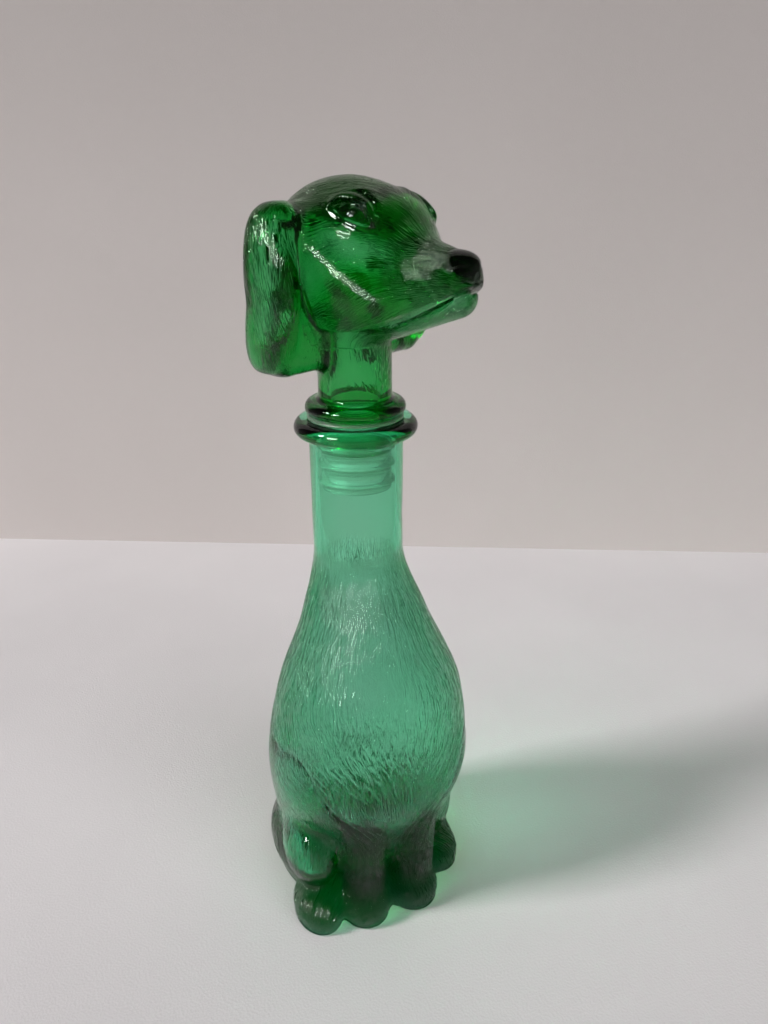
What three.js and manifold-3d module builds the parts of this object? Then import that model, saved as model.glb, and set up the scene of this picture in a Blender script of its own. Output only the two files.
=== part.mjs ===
// Sitting-dog decanter in blown glass: a hollow bottle that is the dog's body, a hollow head that
// is its stopper, and the ribbed plastic sleeve on the stopper's plug that seals the mouth.
// Millimetres, +Z up. The origin is the centre of the base, under the neck. The chest faces -Y.

import * as THREE from "three";
import { mergeVertices } from "three/addons/utils/BufferGeometryUtils.js";
import Module from "manifold-3d";

const wasm = await Module();
wasm.setup();

// Bottle: neck, lip and glass thickness.
const MOUTH_HEIGHT = 238.5;
const NECK_RADIUS = 20;
const NECK_WALL = 3.2;
const NECK_FOOT = 180;
const LIP_RADIUS = 26.2;
const LIP_THICKNESS = 7;
const BODY_WALL = 3.6;
const BASE_THICKNESS = 20;
const CAVITY_DOME = 32;
const BASE_ROUND = 2.2;

// Bottle: the torso's half width and its reach to the front and the back at five heights.
const TORSO = {
  base: { height: 0, side: 38, front: 31, back: 38 },
  flank: { height: 38, side: 44, front: 41, back: 41 },
  belly: { height: 76, side: 48.8, front: 54.5, back: 38 },
  chest: { height: 112, side: 43.5, front: 53, back: 32 },
  shoulder: { height: 150, side: 28.5, front: 36, back: 22.5 },
};

// Bottle: limbs. A centre is given as side, forward and height.
const FRONT_LEG = { side: 12.5, top: 58, topForward: 36, footForward: 33, radius: 11 };
const FRONT_PAW = { centre: [12.8, 35.5, 7], reach: [12.6, 13.5, 12] };
const HIND_PAW = { centre: [34, 21.5, 7], reach: [12, 17, 12.5] };
const KNEE = { centre: [32.5, 11, 34], reach: [13.5, 19.5, 21] };
const HAUNCH = { centre: [29.5, -6, 17], reach: [17.5, 28, 23] };
const HIND_STEP = 5.5;
const STANCE = { side: -2, forward: 1.5 };
const PLINTH = { centre: [0, 3, 4], reach: [41, 38.5, 11] };
const TAIL = { root: [0, -36, 32], tip: [0, -37, 4], rootRadius: 6.5, tipRadius: 5 };
const LEG_BLEND = 8;
const LIMB_BLEND = 4;
const TOE_BLEND = 2.5;

// Stopper: plug, bead and neck. Its heights count from the underside of the bead.
const HEAD_TURN = THREE.MathUtils.degToRad(23);
const PLUG_LENGTH = 15;
const PLUG_WALL = 3;
const PLUG_CHAMFER = 1;
const BEAD_RADIUS = 21.2;
const BEAD_THICKNESS = 6.2;
const STOPPER_NECK_RADIUS = 15.4;
const STOPPER_NECK_TOP = 15;
const HEAD_WALL = 3.8;
const HEAD_CORE = 62;

// Stopper: the head's masses, each with a centre as side, forward and height.
const SKULL = { centre: [0, -1.5, 64], reach: [29, 34, 28] };
const FOREHEAD = { centre: [0, 16, 68], reach: [21, 20, 18] };
const CHEEK = { centre: [15, 16, 50], reach: [13.5, 24, 16] };
const JOWL = { ear: [23.5, -1, 72], bend: [19, 14, 54], lip: [14.5, 31, 48], tip: [4, 45, 55], radius: 8.7 };
const MUZZLE = { root: [0, 24, 57], tip: [0, 50, 57.5], rootRadius: 18, tipRadius: 10.5 };
const JAW = { root: [0, 12, 43], tip: [0, 52, 51.5], rootRadius: 13, tipRadius: 7.4 };
const NOSE = { centre: [0, 54, 62.5], reach: [8, 6, 5.5] };
const EAR = { centre: [38.6, -2.8, 47], reach: [6.2, 12.4, 25.5], square: 2.8, lean: 0.22 };
const EAR_ROOT = { centre: [31, -6, 65.5], reach: [13, 8.5, 18], square: 2.6 };
const EAR_WEB = { centre: [20, -4.5, 43.5], half: [18.5, 7, 23], round: 6 };
const EYE = { centre: [17.5, 16, 78], reach: [5.5, 6, 5] };
const EYE_SOCKET = { centre: [21.5, 22, 78.5], reach: [7, 6.5, 5] };
const BROW = { inner: [10.5, 23, 78], peak: [15.5, 15, 82.5], outer: [21, 6, 80], radius: 4 };
const MOUTH = { back: 18, front: 57, cornerHeight: 37.5, lipHeight: 53.5 };
const BEAD_BLEND = 3;
const FACE_BLEND = 7;
const FEATURE_BLEND = 2.5;

// Sleeve: the plastic seal between plug and neck.
const SLEEVE_LENGTH = 30;
const SLEEVE_WALL = 1.4;
const FLANGE_RADIUS = 20.4;
const FLANGE_THICKNESS = 1.2;
const RING_COUNT = 4;
const RING_HEIGHT = 2.4;

// Clearances.
const SEAT_GAP = 0.3;
const FIT_GAP = 0.3;

// Facets.
const BODY_COLUMNS = 64;
const BODY_ROWS = 27;
const HEAD_COLUMNS = 78;
const HEAD_ROWS = 33;
const CAVITY_COLUMNS = 30;
const CAVITY_ROWS = 13;
const SLEEVE_COLUMNS = 32;

const BORE_RADIUS = NECK_RADIUS - NECK_WALL;
const RING_RADIUS = BORE_RADIUS - FIT_GAP;
const SLEEVE_OUTER = RING_RADIUS - SLEEVE_WALL;
const SLEEVE_INNER = SLEEVE_OUTER - SLEEVE_WALL;
const PLUG_RADIUS = SLEEVE_INNER - FIT_GAP;
const FLANGE_BASE = MOUTH_HEIGHT + SEAT_GAP;
const STOPPER_SEAT = FLANGE_BASE + FLANGE_THICKNESS + SEAT_GAP;

// Side, forward and height as a point of the model, where forward is -Y.
function at([side, forward, height]) {
  return [side, -forward, height];
}

// Smooth steps and blends. A form is a function of a point: below zero inside, about a distance.
function easeBetween(low, high, value) {
  const share = THREE.MathUtils.clamp((value - low) / (high - low), 0, 1);
  return share * share * (3 - 2 * share);
}

function blend(radius, first, second) {
  const share = Math.max(radius - Math.abs(first - second), 0) / radius;
  return Math.min(first, second) - (share * share * radius) / 4;
}

function blendAll(radius, forms) {
  return (p) => forms.map((form) => form(p)).reduce((a, b) => blend(radius, a, b));
}

function carve(radius, form, tool) {
  return (p) => -blend(radius, -form(p), tool(p));
}

function mirrored(form) {
  return (p) => form([Math.abs(p[0]), p[1], p[2]]);
}

function ellipsoid({ centre, reach }) {
  const c = at(centre);
  return (p) => {
    const q = p.map((value, i) => value - c[i]);
    const near = Math.hypot(q[0] / reach[0], q[1] / reach[1], q[2] / reach[2]);
    const slope = Math.hypot(q[0] / reach[0] ** 2, q[1] / reach[1] ** 2, q[2] / reach[2] ** 2);
    return slope < 1e-6 ? -Math.min(...reach) : (near * (near - 1)) / slope;
  };
}

// A limb that tapers from one radius to another between two points.
function limb(from, to, fromRadius, toRadius) {
  const a = new THREE.Vector3(...at(from));
  const along = new THREE.Vector3(...at(to)).sub(a);
  const length = along.lengthSq();
  const point = new THREE.Vector3();
  return (p) => {
    point.fromArray(p).sub(a);
    const share = THREE.MathUtils.clamp(point.dot(along) / length, 0, 1);
    return point.addScaledVector(along, -share).length() - fromRadius - (toRadius - fromRadius) * share;
  };
}

function roundedBlock({ centre, half, round }) {
  const c = at(centre);
  return (p) => {
    const q = p.map((value, i) => Math.abs(value - c[i]) - half[i] + round);
    const outside = Math.hypot(Math.max(q[0], 0), Math.max(q[1], 0), Math.max(q[2], 0));
    return outside + Math.min(Math.max(...q), 0) - round;
  };
}

// A pillow: an ellipsoid with squarer shoulders.
function pillow({ centre, reach, square }) {
  const c = at(centre);
  return (p) => {
    const near = p.reduce((sum, value, i) => sum + Math.abs((value - c[i]) / reach[i]) ** square, 0);
    return (near ** (1 / square) - 1) * Math.min(...reach);
  };
}

// A disc with a fully rounded rim, for the lip and for the stopper's bead.
function roundedDisc(radius, thickness, base) {
  const half = thickness / 2;
  return (p) => {
    const out = Math.max(Math.hypot(p[0], p[1]) - radius + half, 0);
    return Math.hypot(out, p[2] - base - half) - half;
  };
}

// A smooth curve through the stations of one size, level at its ends and at its turning points.
function curveThrough(stations, size) {
  const slopes = stations.slice(1).map((next, i) => {
    const station = stations[i];
    return (next[size] - station[size]) / (next.height - station.height);
  });
  const tangents = stations.map((_, i) => {
    const before = slopes[i - 1] ?? 0;
    const after = slopes[i] ?? 0;
    return before * after > 0 ? (2 * before * after) / (before + after) : 0;
  });
  return (height) => {
    const last = stations.length - 2;
    const found = stations.findIndex((station, i) => i > 0 && height < station.height) - 1;
    const i = found < 0 ? last : found;
    const span = stations[i + 1].height - stations[i].height;
    const t = THREE.MathUtils.clamp((height - stations[i].height) / span, 0, 1);
    const low = (1 + 2 * t) * (1 - t) ** 2 * stations[i][size] + t * (1 - t) ** 2 * span * tangents[i];
    const high = t * t * (3 - 2 * t) * stations[i + 1][size] - t * t * (1 - t) * span * tangents[i + 1];
    return low + high;
  };
}

// Walks in from outside to the form's outermost skin along a ray, and gives its distance.
function outermost(form, origin, direction, far) {
  const on = (r) => form(origin.map((value, i) => value + direction[i] * r));
  const step = 0.7;
  let inside = far;
  while (inside > step && on(inside) > 0) {
    inside -= step;
  }
  let outside = inside + step;
  for (let turn = 0; turn < 16; turn += 1) {
    const middle = (inside + outside) / 2;
    if (on(middle) > 0) {
      outside = middle;
    } else {
      inside = middle;
    }
  }
  return (inside + outside) / 2;
}

// Walks out from a core to where the form is thinner than the wall, and gives the distance.
function innermost(form, origin, direction, wall, far) {
  const on = (r) => form(origin.map((value, i) => value + direction[i] * r)) + wall;
  const step = 0.5;
  let r = step;
  while (r < far && on(r) < 0) {
    r += step;
  }
  return r - step;
}

function mesh(name, geometry, material) {
  const result = new THREE.Mesh(geometry, material);
  result.name = name;
  return result;
}

// A closed skin of rings around the Z axis, from the lowest pole to the highest.
function skin(rings, low, high) {
  const columns = rings[0].length;
  const points = [low, ...rings.flat(), high];
  const index = [];
  const ringStart = (row) => 1 + row * columns;
  for (let j = 0; j < columns; j += 1) {
    const k = (j + 1) % columns;
    index.push(0, ringStart(0) + k, ringStart(0) + j);
    for (let row = 0; row + 1 < rings.length; row += 1) {
      const a = ringStart(row) + j;
      const b = ringStart(row) + k;
      const c = ringStart(row + 1) + k;
      const d = ringStart(row + 1) + j;
      index.push(a, b, c, a, c, d);
    }
    const top = ringStart(rings.length - 1);
    index.push(points.length - 1, top + j, top + k);
  }
  const geometry = new THREE.BufferGeometry();
  geometry.setAttribute("position", new THREE.Float32BufferAttribute(points.flat(), 3));
  geometry.setIndex(index);
  return geometry;
}

function circle(columns, radius, height) {
  return columns.map((turn) => [radius * Math.sin(turn), -radius * Math.cos(turn), height]);
}

// Turns around the axis, counted from the front, closer together there by the given share.
function turns(count, closer) {
  return Array.from({ length: count }, (_, j) => {
    const even = (2 * Math.PI * j) / count - Math.PI;
    return even - closer * Math.sin(even);
  });
}

// Spaces stations between two values so that each covers the same length of skin.
function spacedBySkin(count, from, to, tracks) {
  const fine = 240;
  const lengths = [0];
  const value = (i) => from + ((to - from) * i) / fine;
  let before = tracks.map((track) => track(value(0)));
  for (let i = 1; i <= fine; i += 1) {
    const now = tracks.map((track) => track(value(i)));
    const gap = (p, q) => Math.hypot(p[0] - q[0], p[1] - q[1], p[2] - q[2]);
    const step = now.reduce((sum, point, k) => sum + gap(point, before[k]), 0);
    lengths.push(lengths[i - 1] + step);
    before = now;
  }
  return Array.from({ length: count + 1 }, (_, k) => {
    const goal = (lengths[fine] * k) / count;
    const i = Math.max(lengths.findIndex((length) => length >= goal), 1);
    const share = (goal - lengths[i - 1]) / (lengths[i] - lengths[i - 1] || 1);
    return value(i - 1 + THREE.MathUtils.clamp(share, 0, 1));
  });
}

function toManifold(geometry) {
  const merged = mergeVertices(geometry, 1e-5);
  const solid = new wasm.Mesh({
    numProp: 3,
    vertProperties: new Float32Array(merged.attributes.position.array),
    triVerts: new Uint32Array(merged.index.array),
  });
  return new wasm.Manifold(solid);
}

function hollowed(outer, cavity) {
  const result = toManifold(outer).subtract(toManifold(cavity)).getMesh();
  const geometry = new THREE.BufferGeometry();
  geometry.setAttribute("position", new THREE.BufferAttribute(new Float32Array(result.vertProperties), 3));
  geometry.setIndex(new THREE.BufferAttribute(new Uint32Array(result.triVerts), 1));
  geometry.computeVertexNormals();
  return geometry;
}

// The torso as an ellipse at every height, running up into the round neck.
const neckStations = [NECK_FOOT, MOUTH_HEIGHT].map((height) => ({
  height,
  side: NECK_RADIUS,
  front: NECK_RADIUS,
  back: NECK_RADIUS,
}));
const torsoStations = [...Object.values(TORSO), ...neckStations];
const torsoSide = curveThrough(torsoStations, "side");
const torsoFront = curveThrough(torsoStations, "front");
const torsoBack = curveThrough(torsoStations, "back");

function torso(p) {
  const side = torsoSide(p[2]);
  const front = torsoFront(p[2]);
  const back = torsoBack(p[2]);
  const depth = (front + back) / 2;
  const across = Math.hypot(p[0] / side, (p[1] + (front - back) / 2) / depth);
  return (across - 1) * Math.min(side, depth);
}

function bottleForm() {
  const leg = limb(
    [FRONT_LEG.side, FRONT_LEG.topForward, FRONT_LEG.top],
    [FRONT_LEG.side, FRONT_LEG.footForward, 0],
    FRONT_LEG.radius,
    FRONT_LEG.radius,
  );
  const seat = blendAll(LIMB_BLEND, [torso, ellipsoid(PLINTH), ellipsoid(HAUNCH)]);
  const front = blendAll(LIMB_BLEND, [leg, ellipsoid(FRONT_PAW)]);
  const forelegs = mirrored(front);
  const hindLeg = blendAll(TOE_BLEND, [ellipsoid(KNEE), ellipsoid(HIND_PAW)]);
  const rightHind = (p) => hindLeg([-p[0], p[1] + HIND_STEP, p[2]]);
  const leftHind = (p) => hindLeg([p[0], p[1] - HIND_STEP, p[2]]);
  const legs = blendAll(LEG_BLEND, [forelegs, rightHind, leftHind]);
  const standing = (p) => legs([p[0] - STANCE.side, p[1] + STANCE.forward, p[2]]);
  const limbs = blendAll(LIMB_BLEND, [mirrored(seat), standing]);
  const tail = limb(TAIL.root, TAIL.tip, TAIL.rootRadius, TAIL.tipRadius);
  const lip = roundedDisc(LIP_RADIUS, LIP_THICKNESS, MOUTH_HEIGHT - LIP_THICKNESS);
  return blendAll(TOE_BLEND, [blendAll(LIMB_BLEND, [limbs, tail]), lip]);
}

function bottleOuter() {
  const form = bottleForm();
  const far = 2 * TORSO.belly.side;
  const point = (turn, height, inset) => {
    const direction = [Math.sin(turn), -Math.cos(turn), 0];
    const r = outermost(form, [0, 0, height], direction, far) - inset;
    return [r * direction[0], r * direction[1], height];
  };
  const levels = [0.2, 0.5, 1, 1.5, 2.2].map((share) => share * FRONT_PAW.reach[2]);
  const columns = spacedBySkin(
    BODY_COLUMNS,
    -Math.PI,
    Math.PI,
    levels.map((height) => (turn) => point(turn, height, 0)),
  ).slice(0, -1);
  const ring = (height, inset) => columns.map((turn) => point(turn, height, inset));
  const foot = ring(0, BASE_ROUND);
  const rings = [foot.map(([x, y]) => [x / 2, y / 2, 0]), foot];
  for (const share of [1 / 3, 2 / 3]) {
    const angle = (share * Math.PI) / 2;
    rings.push(ring(BASE_ROUND * (1 - Math.cos(angle)), BASE_ROUND * (1 - Math.sin(angle))));
  }
  for (let row = 0; row <= BODY_ROWS; row += 1) {
    rings.push(ring(BASE_ROUND + (NECK_FOOT - BASE_ROUND) * (row / BODY_ROWS) ** 1.3, 0));
  }
  const lipBase = MOUTH_HEIGHT - LIP_THICKNESS;
  rings.push(ring(lipBase - TOE_BLEND, 0));
  for (const share of [0, 0.15, 0.35, 0.65, 0.85, 1]) {
    rings.push(ring(lipBase + LIP_THICKNESS * share, 0));
  }
  return skin(rings, [0, 0, 0], [0, 0, MOUTH_HEIGHT]);
}

// The space inside: the torso less the wall, domed at the bottom, with the bore out of the mouth.
function bottleCavity() {
  const columns = turns(CAVITY_COLUMNS, 0);
  const ring = (height) => {
    const rise = THREE.MathUtils.clamp((height - BASE_THICKNESS) / CAVITY_DOME, 0, 1);
    const dome = Math.sqrt(1 - (1 - rise) ** 2);
    const wall = THREE.MathUtils.lerp(BODY_WALL, NECK_WALL, easeBetween(TORSO.chest.height, NECK_FOOT, height));
    const side = torsoSide(height) - wall;
    const depth = (torsoFront(height) + torsoBack(height)) / 2 - wall;
    const middle = (torsoFront(height) - torsoBack(height)) / 2;
    return columns.map((turn) => [
      dome * side * Math.sin(turn),
      -dome * (middle + depth * Math.cos(turn)),
      height,
    ]);
  };
  const rings = [];
  for (let row = 1; row <= CAVITY_ROWS; row += 1) {
    const share = (row / CAVITY_ROWS) ** 1.4;
    rings.push(ring(BASE_THICKNESS + (NECK_FOOT - BASE_THICKNESS) * share));
  }
  const above = MOUTH_HEIGHT + 1;
  rings.push(circle(columns, BORE_RADIUS, above));
  return skin(rings, [0, 0, BASE_THICKNESS], [0, 0, above]);
}

function mouthHeight(forward) {
  const rise = easeBetween(MOUTH.back, MOUTH.front, forward);
  return THREE.MathUtils.lerp(MOUTH.cornerHeight, MOUTH.lipHeight, rise);
}

// The head: muzzle and cheeks end at the mouth, and the jaw, ears and neck join them.
function headForm() {
  const muzzle = limb(MUZZLE.root, MUZZLE.tip, MUZZLE.rootRadius, MUZZLE.tipRadius);
  const jowl = blendAll(FEATURE_BLEND, [
    limb(JOWL.ear, JOWL.bend, JOWL.radius, JOWL.radius),
    limb(JOWL.bend, JOWL.lip, JOWL.radius, JOWL.radius),
    limb(JOWL.lip, JOWL.tip, JOWL.radius, JOWL.radius),
  ]);
  const upper = blendAll(FACE_BLEND, [muzzle, ellipsoid(CHEEK), jowl]);
  const lips = carve(FEATURE_BLEND, upper, (p) => p[2] - mouthHeight(-p[1]));
  const jaw = limb(JAW.root, JAW.tip, JAW.rootRadius, JAW.tipRadius);
  const neck = (p) => Math.max(Math.hypot(p[0], p[1]) - STOPPER_NECK_RADIUS, p[2] - HEAD_CORE);
  const head = blendAll(FACE_BLEND, [ellipsoid(SKULL), ellipsoid(FOREHEAD), lips]);
  const upright = pillow(EAR);
  const hanging = (p) => upright([p[0], p[1] - EAR.lean * Math.max(EAR.centre[2] - p[2], 0), p[2]]);
  const ears = blendAll(LIMB_BLEND, [hanging, pillow(EAR_ROOT), roundedBlock(EAR_WEB)]);
  const whole = blendAll(LIMB_BLEND, [head, jaw, ears, neck]);
  const socketed = carve(FEATURE_BLEND, whole, ellipsoid(EYE_SOCKET));
  const brow = blendAll(FEATURE_BLEND, [
    limb(BROW.inner, BROW.peak, BROW.radius, BROW.radius),
    limb(BROW.peak, BROW.outer, BROW.radius, BROW.radius),
  ]);
  return mirrored(blendAll(FEATURE_BLEND, [socketed, ellipsoid(EYE), brow, ellipsoid(NOSE)]));
}

function headRay(turn, tilt) {
  return [Math.sin(tilt) * Math.sin(turn), -Math.sin(tilt) * Math.cos(turn), Math.cos(tilt)];
}

function along(origin, direction, r) {
  return origin.map((value, i) => value + direction[i] * r);
}

function headOuter(form) {
  const core = [0, 0, HEAD_CORE];
  const far = 80;
  const lowest = Math.PI - Math.atan2(STOPPER_NECK_RADIUS, HEAD_CORE - STOPPER_NECK_TOP);
  const point = (turn, tilt) => {
    const ray = headRay(turn, tilt);
    return along(core, ray, outermost(form, core, ray, far));
  };
  const levels = [0.9, 1.3, 1.6, 1.9, 2.2];
  const half = spacedBySkin(
    HEAD_COLUMNS / 2,
    0,
    Math.PI,
    levels.map((tilt) => (turn) => point(turn, tilt)),
  );
  const columns = [...half.slice(1).reverse().map((turn) => -turn), ...half.slice(0, -1)];
  const ways = [0, 0.5, 1.1, 1.6, 2.4, 3.1];
  const tilts = spacedBySkin(
    HEAD_ROWS,
    0,
    lowest,
    ways.map((turn) => (tilt) => point(turn, tilt)),
  );
  const foot = blendAll(BEAD_BLEND, [form, roundedDisc(BEAD_RADIUS, BEAD_THICKNESS, 0)]);
  const level = (height) =>
    columns.map((turn) => {
      const direction = headRay(turn, Math.PI / 2);
      return along([0, 0, height], direction, outermost(foot, [0, 0, height], direction, far / 2));
    });
  const rings = [
    circle(columns, PLUG_RADIUS - PLUG_CHAMFER, -PLUG_LENGTH),
    circle(columns, PLUG_RADIUS, PLUG_CHAMFER - PLUG_LENGTH),
    circle(columns, PLUG_RADIUS, 0),
  ];
  for (const share of [0, 0.15, 0.35, 0.65, 0.85, 1, 1.25, 1.6]) {
    rings.push(level(BEAD_THICKNESS * share));
  }
  for (const tilt of tilts.slice(1).reverse()) {
    rings.push(columns.map((turn) => point(turn, tilt)));
  }
  return skin(rings, [0, 0, -PLUG_LENGTH], point(0, 0));
}

// The space inside the head, open through the stopper's neck and plug.
function headCavity(form) {
  const core = [0, 0, HEAD_CORE];
  const columns = turns(CAVITY_COLUMNS, 0.3);
  const boreRadius = PLUG_RADIUS - PLUG_WALL;
  const lowest = Math.PI - Math.atan2(boreRadius, HEAD_CORE - STOPPER_NECK_TOP);
  const point = (turn, tilt) => {
    const ray = headRay(turn, tilt);
    return along(core, ray, innermost(form, core, ray, HEAD_WALL, 80));
  };
  const rings = [circle(columns, boreRadius, -PLUG_LENGTH - 1), circle(columns, boreRadius, STOPPER_NECK_TOP)];
  for (let row = CAVITY_ROWS - 1; row >= 1; row -= 1) {
    rings.push(columns.map((turn) => point(turn, (lowest * row) / CAVITY_ROWS)));
  }
  return skin(rings, [0, 0, -PLUG_LENGTH - 1], point(0, 0));
}

// The sleeve turned in one profile: flange on top, tube below, rounded sealing rings outside.
function sleeveGeometry() {
  const bottom = -SLEEVE_LENGTH;
  const outline = [
    [SLEEVE_INNER, bottom],
    [SLEEVE_OUTER, bottom],
  ];
  const pitch = SLEEVE_LENGTH / (RING_COUNT + 0.5);
  for (let ring = 0; ring < RING_COUNT; ring += 1) {
    const middle = bottom + pitch * (ring + 0.75);
    for (const turn of [0, 0.3, 0.7, 1]) {
      const out = Math.sin(turn * Math.PI) * (RING_RADIUS - SLEEVE_OUTER);
      outline.push([SLEEVE_OUTER + out, middle + RING_HEIGHT * (turn - 0.5)]);
    }
  }
  outline.push(
    [SLEEVE_OUTER, 0],
    [FLANGE_RADIUS, 0],
    [FLANGE_RADIUS, FLANGE_THICKNESS],
    [SLEEVE_INNER, FLANGE_THICKNESS],
    [SLEEVE_INNER, bottom],
  );
  const profile = outline.map(([r, z]) => new THREE.Vector2(r, z));
  const geometry = new THREE.LatheGeometry(profile, SLEEVE_COLUMNS);
  geometry.rotateX(Math.PI / 2);
  geometry.deleteAttribute("normal");
  geometry.deleteAttribute("uv");
  const closed = mergeVertices(geometry, 1e-4);
  closed.computeVertexNormals();
  return closed;
}

const bodyGlass = new THREE.MeshStandardMaterial({ color: 0x4fae86, roughness: 0.05 });
const headGlass = new THREE.MeshStandardMaterial({ color: 0x2f9a55, roughness: 0.05 });
const palePlastic = new THREE.MeshStandardMaterial({ color: 0xe4e2da, roughness: 0.5 });

const group = new THREE.Group();
group.name = "dog_decanter";

group.add(mesh("bottle_body", hollowed(bottleOuter(), bottleCavity()), bodyGlass));

const sleeve = mesh("stopper_sleeve", sleeveGeometry(), palePlastic);
sleeve.position.z = FLANGE_BASE;
group.add(sleeve);

const head = headForm();
const stopper = mesh("head_stopper", hollowed(headOuter(head), headCavity(head)), headGlass);
stopper.position.z = STOPPER_SEAT;
stopper.rotation.z = HEAD_TURN;
group.add(stopper);

export default group;
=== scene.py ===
"""Looks of a sitting-dog decanter in blown green glass, in the frame of its CAD model.

The dog's body is the bottle and its head is the stopper. A pale plastic sleeve seals the plug.
Shapes are worked out in millimetres as [side, forward, height]. Side is toward the dog's left,
forward is the way that its chest faces, and height is up. They become the frame's metres last.
"""

import logging
import math
from dataclasses import dataclass, field
from enum import Enum
from typing import Callable

import bpy
import numpy as np
from mathutils import Matrix, Vector


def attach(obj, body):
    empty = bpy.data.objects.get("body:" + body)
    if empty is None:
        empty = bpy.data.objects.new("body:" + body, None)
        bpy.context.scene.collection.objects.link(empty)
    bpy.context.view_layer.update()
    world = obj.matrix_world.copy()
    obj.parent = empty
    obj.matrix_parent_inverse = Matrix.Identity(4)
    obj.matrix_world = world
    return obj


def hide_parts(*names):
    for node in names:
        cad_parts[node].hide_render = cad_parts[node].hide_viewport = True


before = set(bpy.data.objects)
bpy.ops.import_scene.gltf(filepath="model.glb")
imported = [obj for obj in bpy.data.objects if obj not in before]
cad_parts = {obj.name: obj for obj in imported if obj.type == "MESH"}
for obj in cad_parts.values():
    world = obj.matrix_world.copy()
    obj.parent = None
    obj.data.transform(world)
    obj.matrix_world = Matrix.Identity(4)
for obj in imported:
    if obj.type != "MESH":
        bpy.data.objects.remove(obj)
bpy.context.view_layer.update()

LOG = logging.getLogger("dog_decanter")

MM = 0.001

Point = tuple[float, float, float]
Colour = tuple[float, float, float, float]
Gap = Callable[[np.ndarray], np.ndarray]


class Slot(Enum):
    """Material slots of the record."""

    BODY_GLASS = "body_glass"
    HEAD_GLASS = "head_glass"
    SLEEVE_PLASTIC = "sleeve_plastic"


class Node(Enum):
    """Nodes of the CAD model that the pieces stand in for."""

    BOTTLE = "bottle_body"
    HEAD = "head_stopper"
    SLEEVE = "stopper_sleeve"


class Body(Enum):
    """Moving bodies of the simulation that the pieces ride on."""

    BOTTLE = "bottle"
    STOPPER = "stopper"
    SLEEVE = "sleeve"


# Forms

def ease(low: float, high: float, value: np.ndarray) -> np.ndarray:
    """Rises smoothly from 0 to 1 between two values.

    Args:
        low: Value at which the result is 0.
        high: Value at which the result is 1. It may be below low.
        value: Values to ease.

    Returns:
        The eased values.
    """
    share = np.clip((value - low) / (high - low), 0.0, 1.0)
    return share * share * (3.0 - 2.0 * share)


def blend(radius: float, *gaps: np.ndarray) -> np.ndarray:
    """Joins forms with a rounded seam.

    Args:
        radius: Width of the seam in mm.
        *gaps: Signed distances of each form, negative inside.

    Returns:
        The signed distances of the joined form.
    """
    joined = gaps[0]
    for gap in gaps[1:]:
        share = np.maximum(radius - np.abs(joined - gap), 0.0) / radius
        joined = np.minimum(joined, gap) - share * share * radius / 4.0
    return joined


def carve(radius: float, solid: np.ndarray, tool: np.ndarray) -> np.ndarray:
    """Cuts one form out of another with a rounded edge.

    Args:
        radius: Width of the rounded edge in mm.
        solid: Signed distances of the form that is cut.
        tool: Signed distances of the form that is taken away.

    Returns:
        The signed distances of what is left.
    """
    return -blend(radius, -solid, tool)


def scatter(cells: np.ndarray, seed: int) -> np.ndarray:
    """Even numbers from 0 to 1 for the cells of a lattice, the same in every run.

    Args:
        cells: Whole-number cells, one for each row.
        seed: Chooses the pattern.

    Returns:
        One number for each cell.
    """
    mixed = cells[:, 0] * 73856093 ^ cells[:, 1] * 19349663
    if cells.shape[1] == 3:
        mixed = mixed ^ cells[:, 2] * 83492791
    mixed = (mixed ^ seed * 40503) * 1274126177
    mixed = (mixed ^ mixed >> 15) * 668265263
    return (mixed >> 9 & 0xFFFF) / 65535.0


def lattice_noise(points: np.ndarray, seed: int) -> np.ndarray:
    """Smooth noise from -1 to 1 on a unit lattice, the same in every run.

    Args:
        points: Points in lattice units.
        seed: Chooses the pattern.

    Returns:
        One value for each point.
    """
    cell = np.floor(points).astype(np.int64)
    share = points - cell
    share = share * share * (3.0 - 2.0 * share)
    total = np.zeros(len(points))
    for corner in range(8):
        step = np.array([corner & 1, corner >> 1 & 1, corner >> 2 & 1])
        value = scatter(cell + step, seed) * 2.0 - 1.0
        total += value * np.prod(np.where(step == 1, share, 1.0 - share), axis=1)
    return total


def folded(points: np.ndarray) -> np.ndarray:
    """Folds the points onto the dog's left side.

    Args:
        points: Points in mm.

    Returns:
        The points with every side positive.
    """
    flipped = points.copy()
    flipped[:, 0] = np.abs(points[:, 0])
    return flipped


@dataclass(frozen=True)
class Lump:
    """A rounded mass. A square of 2 is an ellipsoid, and more gives squarer shoulders."""

    centre: Point
    reach: Point
    square: float = 2.0

    def gap(self, points: np.ndarray) -> np.ndarray:
        """Signed distances of the lump.

        Args:
            points: Points in mm.

        Returns:
            One distance for each point, negative inside.
        """
        scaled = (points - self.centre) / self.reach
        if self.square != 2.0:
            near = (np.abs(scaled) ** self.square).sum(1) ** (1.0 / self.square)
            return (near - 1.0) * min(self.reach)
        near = np.sqrt((scaled * scaled).sum(1))
        slope = np.sqrt(((scaled / self.reach) ** 2).sum(1))
        return near * (near - 1.0) / np.maximum(slope, 1e-6)


@dataclass(frozen=True)
class Limb:
    """A capsule that tapers from one ball to another."""

    start: Point
    end: Point
    start_radius: float
    end_radius: float

    def gap(self, points: np.ndarray) -> np.ndarray:
        """Signed distances of the limb.

        Args:
            points: Points in mm.

        Returns:
            One distance for each point, negative inside.
        """
        along = np.subtract(self.end, self.start)
        offset = points - self.start
        share = np.clip(offset @ along / (along @ along), 0.0, 1.0)
        away = np.sqrt(((offset - share[:, None] * along) ** 2).sum(1))
        return away - self.start_radius - (self.end_radius - self.start_radius) * share


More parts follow.
